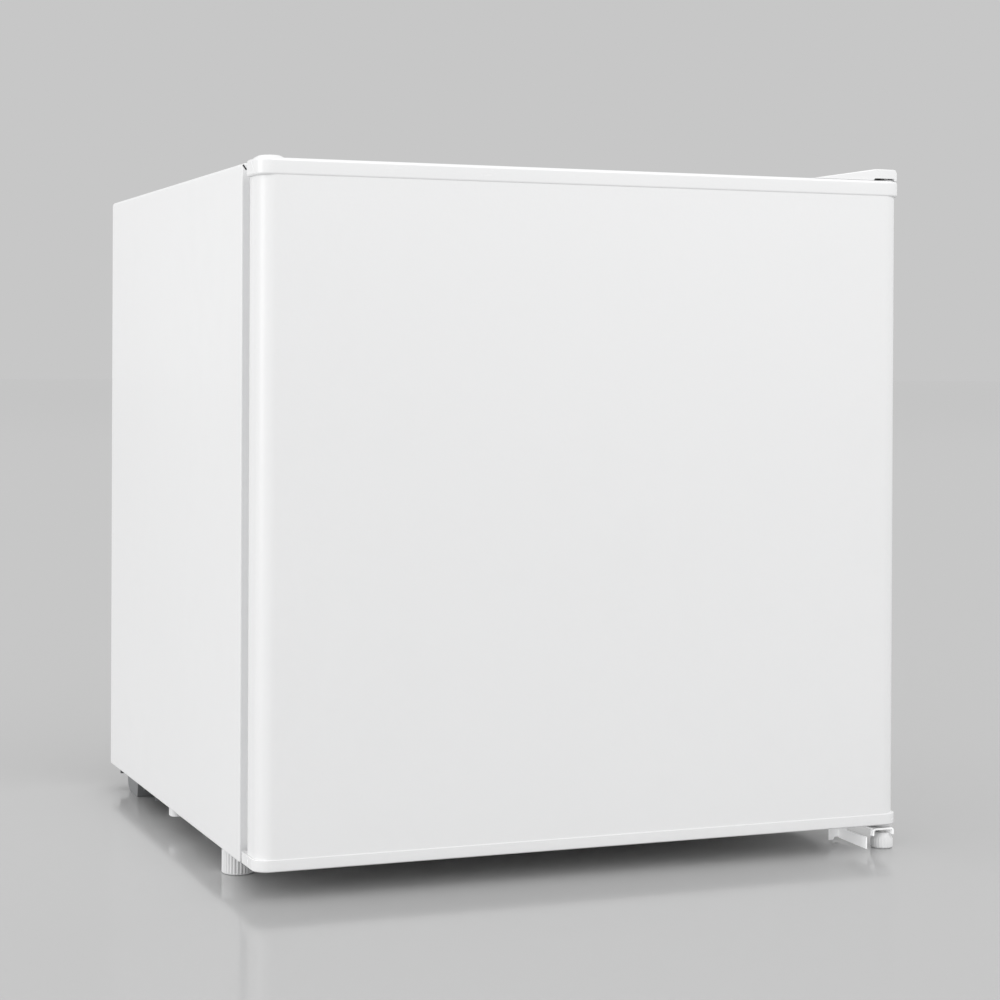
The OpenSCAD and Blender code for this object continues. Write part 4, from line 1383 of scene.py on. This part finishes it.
@dataclass
class Door:
    """Painted door skin between two moulded caps, with liner, gasket and racks."""

    skin_box: Box = box_of("door_skin")
    top_box: Box = box_of("door_top_cap")
    bottom_box: Box = box_of("door_bottom_cap")
    liner_box: Box = box_of("door_liner")
    gasket_box: Box = box_of("door_gasket")
    sheet: float = 0.8
    corner: float = 11.0
    cap_corner: float = 10.5
    proud: float = 1.0
    ridge: tuple[float, ...] = (-196.0, 66.0, 196.0, 437.0)
    ridge_width: float = 20.0

    def skin(self) -> None:
        """Makes the wrapped steel skin with its rolled rear hems."""
        b, t, c = self.skin_box, self.sheet, self.corner
        face = b.y0 - self.proud
        half = [
            (b.x1 - 9, b.y1 - t), (b.x1 - 9, b.y1), (b.x1 - 0.7, b.y1), (b.x1 - 0.2, b.y1 - 0.2),
            (b.x1, b.y1 - 0.7), (b.x1, b.y1 - 3.0), (b.x1 - 0.45, b.y1 - 3.3),
            (b.x1 - 0.45, b.y1 - 3.9), (b.x1, b.y1 - 4.2),
            *arc(b.x1 - c, face + c, c, 0, -90, 10),
        ]
        inner = [*arc(b.x1 - c, face + c, c - t, -90, 0, 10), (b.x1 - t, b.y1 - t)]
        outline = half + [(-x, y) for x, y in reversed(half)]
        outline += [(-x, y) for x, y in reversed(inner)] + inner
        Solid().prism(Plane.XY, outline, b.z0 - 0.5, b.z1 + 0.5).piece(
            "door_panel", Palette.enamel, "door_skin", body=Body.DOOR
        )

    def cap(
        self, name: str, node: str, box: Box, back: float, profile: Sequence[tuple[float, float]]
    ) -> None:
        """Makes one moulded cap.

        Args:
            name: name of the piece.
            node: node that it stands for.
            box: its box.
            back: depth at which its rear face stands.
            profile: inset and height of each outline, from the bottom up.
        """
        rings = []
        for inset, level in profile:
            sides = (box.x0 + inset, box.y0 + inset, box.x1 - inset, back - inset)
            radii = (self.cap_corner - inset * 0.6, max(4 - inset, 0.6))
            rings.append(ring(Plane.XY, rounded(*sides, radii, 8), level))
        Solid().loft(rings).piece(name, Palette.cap, node, body=Body.DOOR)

    def caps(self) -> None:
        """Makes the deep top cap and the shallow bottom cap."""
        b = self.top_box
        top = [(2.0, b.z0 + 0.3), (1.5, b.z0), (0.9, b.z0), (0.4, b.z0 + 0.35), (0.1, b.z0 + 0.9),
               (0.0, b.z0 + 1.6), (0.0, b.z1 - 2.2), (0.2, b.z1 - 1.3), (0.8, b.z1 - 0.5),
               (1.8, b.z1 - 0.08), (3.0, b.z1)]
        self.cap("door_cap_top", "door_top_cap", b, b.y1 - 6.5, top)
        b = self.bottom_box
        low = [(2.2, b.z0), (0.8, b.z0 + 0.15), (0.2, b.z0 + 0.6), (0.0, b.z0 + 1.2),
               (0.0, b.z1 - 0.4), (0.1, b.z1 - 0.1), (0.4, b.z1), (1.5, b.z1), (2.0, b.z1 - 0.3)]
        self.cap("door_cap_bottom", "door_bottom_cap", b, b.y1, low)

    def gasket(self) -> None:
        """Makes the bellows gasket as one profile run round the door."""
        b = self.gasket_box
        w, y0, y1 = 24.0, b.y0, b.y1
        profile = [
            (0.6, y0), (0.0, y0 + 0.8), (0.1, y0 + 1.8), (1.6, y0 + 2.9), (2.4, y0 + 3.9),
            (1.4, y0 + 4.8), (0.1, y0 + 5.8), (0.0, y0 + 7.4), (0.2, y1 - 1.0), (0.9, y1 - 0.2),
            (2.0, y1), (12.0, y1), (13.4, y1 - 0.4), (14.0, y1 - 1.6), (13.4, y1 - 4.2),
            (15.5, y1 - 5.4), (19.0, y1 - 5.2), (22.0, y1 - 4.2), (23.4, y1 - 4.4),
            (22.6, y1 - 6.0), (21.4, y0 + 3.2), (23.0, y0 + 1.9), (w, y0 + 0.9), (w - 0.6, y0),
        ]
        rings = inset_rings(Plane.XZ, (b.x0, b.z0, b.x1, b.z1), 1.6, profile, 4)
        Solid().loft(rings, True).piece(
            "bellows_gasket", Palette.gasket, "door_gasket", body=Body.DOOR
        )

    def liner(self) -> None:
        """Makes the formed inner panel with the raised ridge that holds the racks."""
        b = self.liner_box
        x0, z0, x1, z1 = self.ridge
        face, crest, w = b.y0 + 1.8, b.y1, self.ridge_width
        edge = [(0.5, b.y0), (0.0, b.y0 + 0.4), (0.0, face - 0.3), (0.4, face)]
        rings = inset_rings(Plane.XZ, (b.x0, b.z0, b.x1, b.z1), 2, edge, 7)
        outer = [(-4.0, face), (-2.2, face + 0.5), (-0.8, face + 2.0), (0.0, face + 4.4),
                 (0.1, crest - 3.0), (0.6, crest - 1.3), (1.4, crest - 0.5), (3.2, crest)]
        rings += inset_rings(Plane.XZ, (x0, z0, x1, z1), 5, outer, 7)
        inner = [(w - 3.2, crest), (w - 1.4, crest - 0.5), (w - 0.6, crest - 1.3),
                 (w - 0.1, crest - 3.0), (w, face + 4.4), (w + 0.8, face + 2.0),
                 (w + 2.2, face + 0.5), (w + 4.0, face)]
        rings += inset_rings(Plane.XZ, (x0, z0, x1, z1), 22, inner, 7)
        Solid().loft(rings).piece("door_inner_panel", Palette.liner, "door_liner", body=Body.DOOR)

    def rack(self, name: str, node: str, ribs: int) -> None:
        """Makes one rack with a rolled rim, a stepped front and its ribs.

        Args:
            name: name of the piece.
            node: node that it stands for.
            ribs: number of ribs on its front.
        """
        b = Box.of(node)
        rect = (b.x0, b.y0, b.x1, b.y1)
        t, rim = 2.4, b.z1
        outer = [(5.0, b.z0), (2.6, b.z0 + 0.6), (1.6, b.z0 + 2.6), (0.9, rim - 8),
                 (0.8, rim - 6.2), (0.0, rim - 5.4), (0.0, rim - 1.0), (0.5, rim - 0.2),
                 (1.2, rim)]
        inner = [(t, rim - 0.2), (t + 0.3, rim - 1.4), (t + 0.7, b.z0 + t + 3.0),
                 (t + 1.4, b.z0 + t + 0.8), (t + 4.0, b.z0 + t)]
        rack = Solid().loft(inset_rings(Plane.XY, rect, 9, outer + inner, 6))
        step = (rim - b.z0 - 22) / ribs
        for k in range(ribs):
            z = b.z0 + 9 + step * k
            rack.block((b.x0 + 18, b.y1 - 2.2, z), (b.x1 - 18, b.y1 - 0.3, z + 2.2), 0.8)
        for s in (-1, 1):
            x = s * (b.x1 - 70)
            rack.block((x - 1, b.y0 + 4, b.z0 + t - 0.4), (x + 1, b.y1 - 4, b.z0 + t + 1.2), 0.4)
        rack.piece(name, Palette.frosted, node, body=Body.DOOR)

    def hole_cover(self) -> None:
        """Makes the small snap-in cover over the spare hinge hole."""
        b = Box.of("hinge_hole_cover")
        z0 = self.top_box.z1
        rings = []
        for i, level in ((0.0, z0 - 1.4), (0.0, z0 - 0.2), (0.5, z0 + 0.3), (2.6, b.z1 - 1.0),
                         (3.4, b.z1 - 0.65), (4.4, b.z1 - 0.5)):
            sides = (b.x0 + 0.6 + i, b.y0 + i, b.x1 - i, b.y1 - i)
            rings.append(ring(Plane.XY, rounded(*sides, (10.0 - i, 5.0 - i), 8), level))
        cover = Solid().loft(rings)
        middle = (b.x0 + b.x1) / 2
        cover.turned(Plane.XY, [(4.4, 0), (5.0, 0.6), (5.0, z0 - b.z0)],
                     (middle - 3, (b.y0 + b.y1) / 2, b.z0), 28)
        cover.piece("spare_hole_cover", Palette.cap, "hinge_hole_cover", body=Body.DOOR)

    def build(self) -> None:
        """Makes every piece of the door."""
        self.skin()
        self.caps()
        self.gasket()
        self.liner()
        self.rack("lower_bottle_rack", "lower_door_rack", 3)
        self.rack("upper_can_rack", "upper_door_rack", 2)
        self.hole_cover()
        carry(Palette.foam, "door_foam")
        carry(Palette.magnet, "gasket_magnets")
        carry(Palette.foot, "hinge_bushes")


@dataclass
class Hinges:
    """Upper hinge cover and lower hinge bracket."""

    cover_box: Box = box_of("hinge_cover")
    bracket_box: Box = box_of("lower_hinge_bracket")
    axis: Vector = place_of("door_hinge")
    cap_top: float = 482.5
    gap_left: float = 18.2
    lift: float = 1.6
    ramp_start: float = 169.0

    def cover_outline(self, base: float, lifted: float, inset: float) -> list:
        """Draws the cover seen from the front.

        Args:
            base: height of its underside on the left.
            lifted: height of its underside over the pin.
            inset: distance inside its outer surface.

        Returns:
            The points, from the lower left over the ramp to the lower right.
        """
        b, i, left = self.cover_box, inset, self.ramp_start
        right, top, tip = b.x1 - 2.2, b.z1 - 1.2, b.z0 + 1.6
        split = right - self.gap_left
        return [
            (left + i, base), (left + i, max(tip - 0.6, base + 0.05)),
            (left + 1.4 + i, max(tip - i, base + 0.1)), (right - 21, top - 0.6 - i),
            (right - 18.5, top - 0.15 - i), (right - 16, top - i), (right - 3.0, top - i),
            (right - 1.3, top - 0.4 - i), (right - 0.4 - i, top - 1.3 - i),
            (right - i, top - 3.0 - i), (right - i, base), (right - 2.4, base),
            (right - 2.6, lifted), (split, lifted), (split - 1.5, base),
        ]

    def cover(self) -> None:
        """Makes the ramped cover, raised over the pin so that the door can turn."""
        b = self.cover_box
        seam = b.y0 + 37.0
        low, high = self.cap_top + 0.12, self.cap_top + self.lift
        rings = [ring(Plane.XZ, self.cover_outline(low, high, i), b.y0 + d)
                 for i, d in ((0.9, 0.0), (0.25, 0.3), (0.0, 1.0))]
        rings.append(ring(Plane.XZ, self.cover_outline(low, high, 0.0), seam))
        rings += [ring(Plane.XZ, self.cover_outline(b.z0, b.z0 + 0.01, i), seam + d)
                  for i, d in ((0.0, 0.02), (0.0, b.y1 - seam - 1.0), (0.25, b.y1 - seam - 0.3),
                               (0.9, b.y1 - seam))]
        Solid().loft(rings).piece("ramped_hinge_cover", Palette.cap, "hinge_cover")

    def bracket(self) -> list[bpy.types.Object]:
        """Makes the pressed lower bracket: pad, tongue with rolled edges, strap with a tab.

        Returns:
            The pieces that stand in the light under the door.
        """
        b, a = self.bracket_box, self.axis
        front, cabinet_y = a.y - 8, a.y + 29
        top, pad_top = b.z1 - 2, b.z1
        left, right, t = a.x - 12, a.x + 5.4, 1.3
        outer = [(left, top - 5.4), *arc(left + 2.4, top - 2.4, 2.4, 180, 90, 5),
                 *arc(right - 2.4, top - 2.4, 2.4, 90, 0, 5), (right, top - 5.0)]
        inner = [(right - t, top - 5.0), *arc(right - 2.4, top - 2.4, 2.4 - t, 0, 90, 4),
                 *arc(left + 2.4, top - 2.4, 2.4 - t, 90, 180, 4), (left + t, top - 5.4)]
        tongue = Solid().prism(Plane.XZ, outer + inner, front, front + 3.5)
        tongue.block((left + 0.6, front + 3, top - t), (right - 0.6, cabinet_y + 7, top), 0.4)
        tongue.block((b.x0, cabinet_y + 3, top), (a.x + 5, b.y1, pad_top), 0.5)
        made = tongue.piece("pressed_hinge_bracket", Palette.enamel, "lower_hinge_bracket")
        x, rear = a.x - 16.6, cabinet_y + 7
        side = [(front, b.z0), (rear, b.z0 + 0.8), (rear, pad_top - 1), (rear - 14, pad_top - 1),
                (rear - 16, 10), (front, 10)]
        strap = Solid().prism(Plane.YZ, side, x - 1, x, 0.3)
        flange = [(x - 8.8, 0.6), (x - 5, 0.6), (x - 4, 2.6), (x, 2.6), (x, pad_top - 1),
                  (x - 8.8, pad_top - 1)]
        strap.prism(Plane.XZ, flange, rear - 4, rear - 3, 0.3)
        return [made, strap.piece("hinge_bracket_strap", Palette.enamel)]

    def build(self) -> list[bpy.types.Object]:
        """Makes the hinge pieces.

        Returns:
            The pieces that stand in the light under the door.
        """
        self.cover()
        low = self.bracket()
        carry(Palette.enamel, "upper_hinge_plate")
        carry(Palette.screw, "upper_hinge_pin", "lower_hinge_pin", "hinge_screws")
        return low


@dataclass
class FrontFeet:
    """The two ribbed levelling feet."""

    groove: float = 0.6

    def foot(
        self, name: str, node: str, body: Body, ribs: int, bore: float, neck: float, relief: float
    ) -> None:
        """Makes one foot with upright ribs between two plain lands.

        Args:
            name: name of the piece.
            node: node that it stands for.
            body: body that it rides on.
            ribs: number of ribs.
            bore: radius of its threaded socket.
            neck: how much narrower its top land is.
            relief: depth of the grooves between the ribs, as a share of the usual one.
        """
        b = Box.of(node)
        middle, radius, top = b.centre, (b.x1 - b.x0) / 2, b.z1
        profile = [(radius - 1.6, 0.0, 0.0), (radius - 0.5, 0.4, 0.0), (radius, 1.2, 0.3),
                   (radius, 1.8, 1.0), (radius, top - 1.6 - 2 * neck, 1.0),
                   (radius - neck, top - 1.0 - neck, 0.3),
                   (radius - neck - 0.5, top - 0.3, 0.0), (radius - neck - 1.4, top, 0.0),
                   (bore, top, 0.0),
                   (bore, top - 3, 0.0)]
        rings = []
        for r, level, depth in profile:
            points = []
            for k in range(ribs * 6):
                wave = (0.0, 0.0, 0.25, 1.0, 1.0, 0.25)[k % 6] * depth * self.groove * relief
                turn = math.tau * k / (ribs * 6)
                points.append((middle.x + (r - wave) * math.cos(turn),
                               middle.y + (r - wave) * math.sin(turn)))
            rings.append(ring(Plane.XY, points, level))
        Solid().loft(rings).piece(name, Palette.foot, node, body=body)

    def build(self) -> None:
        """Makes both feet."""
        self.foot("ribbed_foot_left", "front_foot_left", Body.LEFT_FOOT, 30, 4.0, 0.0, 1.0)
        self.foot("ribbed_foot_right", "front_foot_right", Body.RIGHT_FOOT, 24, 3.0, 1.6, 0.4)
        carry(Palette.screw, "foot_stud_left", "foot_stud_right")


# ---------- machine bay ----------


@dataclass
class MachineBay:
    """Compressor, its base and the pipework in the open bay at the back."""

    comp_x: float = 70.0
    comp_y: float = 148.0
    shell_r: float = 56.0
    bolts: tuple[float, float] = (80.0, 40.0)

    def compressor(self) -> None:
        """Makes the drawn shell with its welded seam and brackets."""
        b = Box.of("compressor")
        low, r = b.z0 + 4, self.shell_r
        profile = [(0.0, low), (r - 26, low + 0.2), (r - 14, low + 2.2), (r - 6, low + 8),
                   (r - 1.4, low + 17), (r, low + 28), (r, low + 60), (r + 1.6, low + 60.6),
                   (r + 2.0, low + 61.6), (r + 2.0, low + 64.6), (r + 1.5, low + 65.4),
                   (r, low + 66), (r - 0.2, low + 92)]
        profile += [(r - 26 + 26 * math.cos(a), b.z1 - 26 + 26 * math.sin(a))
                    for a in quarter(9)[1:-1]]
        profile += [(r - 28, b.z1 - 0.05), (10.0, b.z1), (0.0, b.z1)]
        shell = Solid().turned(Plane.XY, profile, (self.comp_x, self.comp_y, 0), 72)
        bracket_top = b.z0 + 4.5
        for s in (-1, 1):
            x = self.comp_x + s * 57
            outline = rounded(x - 33, self.comp_y - 50, x + 33, self.comp_y + 50, (9, 9), 6)
            shell.prism(Plane.XY, outline, b.z0, bracket_top, 0.6)
            for y in (self.comp_y - 22, self.comp_y + 22):
                shell.block((x - 30, y - 2, bracket_top - 0.4),
                            (x + 30, y + 2, bracket_top + 1.4), 0.6)
        shell.piece("compressor_shell", Palette.black_paint, "compressor")

    def mounts(self) -> None:
        """Makes the waisted rubber grommets and the bolt heads."""
        b = Box.of("grommets")
        h = b.z1 - b.z0
        rubber = Solid()
        for sx in (-1, 1):
            for sy in (-1, 1):
                spot = (self.comp_x + sx * self.bolts[0], self.comp_y + sy * self.bolts[1], b.z0)
                profile = [(4.1, 0.1), (8.4, 0.0), (9.0, 0.6), (9.0, 3.0), (7.2, 4.6),
                           (7.2, h - 4.6), (9.0, h - 3.0), (9.0, h - 0.6), (8.4, h),
                           (4.1, h - 0.1)]
                rubber.turned(Plane.XY, profile, spot, 32)
        rubber.piece("waisted_grommets", Palette.rubber, "grommets")
        carry(Palette.screw, "compressor_bolts")

    def base(self) -> None:
        """Makes the pressed base with its two flanges and the lead's tab."""
        b, g = Box.of("compressor_base"), Box.of("cable_gland")
        top = b.z1 - 39
        base = Solid().block((b.x0, b.y0, top - 2), (b.x1, b.y1, top), 0.6)
        for y in (b.y0, b.y1 - 2):
            base.block((b.x0 + 2, y, b.z0), (b.x1 - 2, y + 2, top), 0.6)
        middle = (g.x0 + g.x1) / 2
        level = (g.z0 + g.z1) / 2
        tab = rounded(middle - 20, top - 2, middle + 20, b.z1, (0.5, 6), 6)
        base.prism(Plane.XZ, tab, b.y1 - 2, b.y1, 0.4)
        base.piece("pressed_base", Palette.grey_paint, "compressor_base")

        profile = [(3.6, 0.1), (7.2, 0.0), (7.9, 0.8), (7.9, 8.0), (11.4, 8.0), (12.0, 8.6),
                   (12.0, 10.6), (11.0, 11.6), (6.0, 12.0), (3.9, 11.9), (3.6, 11.4)]
        turned = Solid()
        rings = [ring(Plane.XZ, arc(middle, level, r, 0, 350, 35), g.y0 + y) for r, y in profile]
        turned.loft(rings, True)
        turned.piece("lead_gland", Palette.gland, "cable_gland")

    def electrics(self) -> None:
        """Makes the relay's cover with its clip and the wiring in its ribbed sleeve."""
        b = Box.of("relay_cover")
        deep = b.x1 - 2
        profile = [(2.0, b.x0), (0.5, b.x0 + 0.5), (0.0, b.x0 + 2.0), (0.0, deep - 4),
                   (0.9, deep - 3.8), (0.9, deep)]
        cover = Solid().loft(inset_rings(Plane.YZ, (b.y0, b.z0, b.y1, b.z1), 5, profile, 5))
        middle = (b.y0 + b.y1) / 2
        cover.block((b.x0 + 1, middle - 9, b.z1 - 1), (deep - 2, middle + 9, b.z1 + 0.6), 0.5)
        cover.block((deep - 1, middle - 8, b.z0 + 10), (b.x1, middle + 8, b.z0 + 26), 0.4)
        for k in range(4):
            z = b.z0 + 14 + 8 * k
            cover.block((b.x0 - 0.4, b.y0 + 8, z), (b.x0 + 0.8, b.y1 - 8, z + 2), 0.3)
        cover.piece("relay_housing", Palette.black_plastic, "relay_cover")

        w = Box.of("wiring_loom")
        r = 2.5
        g = Box.of("cable_gland")
        level, gland_x = (g.z0 + g.z1) / 2, (g.x0 + g.x1) / 2
        high = w.z1 - r
        corner_x = w.x1 - 12
        line = route(
            [(gland_x, w.y1, level), (gland_x, middle, level), (corner_x, middle, level),
             (corner_x, middle, high), (w.x1, middle, high)], 12, 9,
        )
        fine = self.resampled(line, 1.1)
        radii = [r if k % 2 else r - 0.35 for k in range(len(fine))]
        Solid().pipe(fine, radii, 12).piece("sleeved_wiring", Palette.rubber, "wiring_loom")

    @staticmethod
    def resampled(line: Sequence[Vector], step: float) -> list[Vector]:
        """Spaces points evenly along a line.

        Args:
            line: the line's points.
            step: distance between the new points.

        Returns:
            The new points, with the same two ends.
        """
        out, left = [line[0]], step
        for a, b in zip(line, line[1:]):
            length = (b - a).length
            while length > left:
                a = a + (b - a) * (left / length)
                length = (b - a).length
                out.append(a)
                left = step
            left -= length
        return out + [line[-1]]

    def pipework(self) -> None:
        """Makes the drier, the capillary, the suction, discharge and process pipes."""
        d = Box.of("filter_drier")
        y, z = (d.y0 + d.y1) / 2, (d.z0 + d.z1) / 2
        length = d.x1 - d.x0
        half = [(2.0, 0.0), (3.6, 0.3), (4.0, 1.2), (4.0, 7.0), (5.2, 10.5), (8.2, 13.4),
                (9.0, 16.5), (9.0, length / 2 - 8), (8.6, length / 2 - 7.4),
                (8.6, length / 2 - 5.6)]
        profile = half + [(r, length - x) for r, x in reversed(half)]
        Solid().turned(Plane.YZ, profile, (d.x0, y, z), 36).piece(
            "crimped_drier", Palette.copper, "filter_drier"
        )

        c, r = Box.of("capillary_tube"), 1.2
        cx, cz = c.x1 - r, c.z1 - r
        Solid().pipe(
            route([(c.x0, y, z), (cx, y, z), (cx, y, cz), (cx, c.y0, cz)], 8), r, 10
        ).piece("capillary", Palette.copper, "capillary_tube")

        s, r = Box.of("suction_line"), 3.0
        start_x = self.comp_x + self.shell_r - 4
        line = [(start_x, self.comp_y, s.z0 + r), (s.x1 - r, self.comp_y, s.z0 + r),
                (s.x1 - r, s.y1 - r, s.z0 + r), (s.x1 - r, s.y1 - r, s.z1 - r),
                (s.x0 + r, s.y1 - r, s.z1 - r), (s.x0 + r, s.y0, s.z1 - r)]
        suction = Solid().pipe(route(line, 12), r, 16)
        suction.turned(Plane.YZ, [(3.1, 0), (4.6, 0.6), (4.6, 7.4), (3.1, 8)],
                       (start_x + 4.2, self.comp_y, s.z0 + r), 24)
        suction.piece("suction_pipe", Palette.copper, "suction_line")

        q, r = Box.of("discharge_line"), 2.4
        bend_x = start_x + 70
        base = q.z0 + r
        line = [(start_x, self.comp_y, base), (bend_x, self.comp_y, base), (bend_x, q.y1 - r, base),
                (q.x1 - r, q.y1 - r, base), (q.x1 - r, q.y1 - r, q.z1)]
        discharge = Solid().pipe(route(line, 10), r, 14)
        discharge.turned(Plane.YZ, [(2.5, 0), (3.8, 0.6), (3.8, 6.4), (2.5, 7)],
                         (start_x + 4.2, self.comp_y, base), 24)
        discharge.piece("discharge_pipe", Palette.copper, "discharge_line")

        p = Box.of("process_tube")
        x, y = (p.x0 + p.x1) / 2, (p.y0 + p.y1) / 2
        flat_z = p.z1 - 6
        stages = [(3.0, 3.0, p.z0), (3.0, 3.0, flat_z - 3), (3.6, 1.8, flat_z),
                  (4.0, 1.0, flat_z + 2), (4.0, 0.9, p.z1)]
        rings = [ring(Plane.XY, [(x + a * math.cos(t), y + b * math.sin(t))
                                 for t in (math.tau * k / 20 for k in range(20))], level)
                 for a, b, level in stages]
        Solid().loft(rings).piece("pinched_process_tube", Palette.copper, "process_tube")

    def build(self) -> None:
        """Makes every piece in the bay."""
        self.compressor()
        self.mounts()
        self.base()
        self.electrics()
        self.pipework()


def main() -> None:
    """Builds the scene, one sub-assembly after another."""
    logging.basicConfig(level=logging.INFO, format="%(name)s: %(message)s")
    studio = Studio()
    studio.build()
    low = []
    for part in (Cabinet(), ColdCompartment(), IceBox(), Thermostat(), Door(), Hinges(),
                 FrontFeet(), MachineBay()):
        LOG.info("building %s", type(part).__name__)
        low += part.build() or []
    studio.light(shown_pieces(), low)


if __name__ == "__main__":
    main()
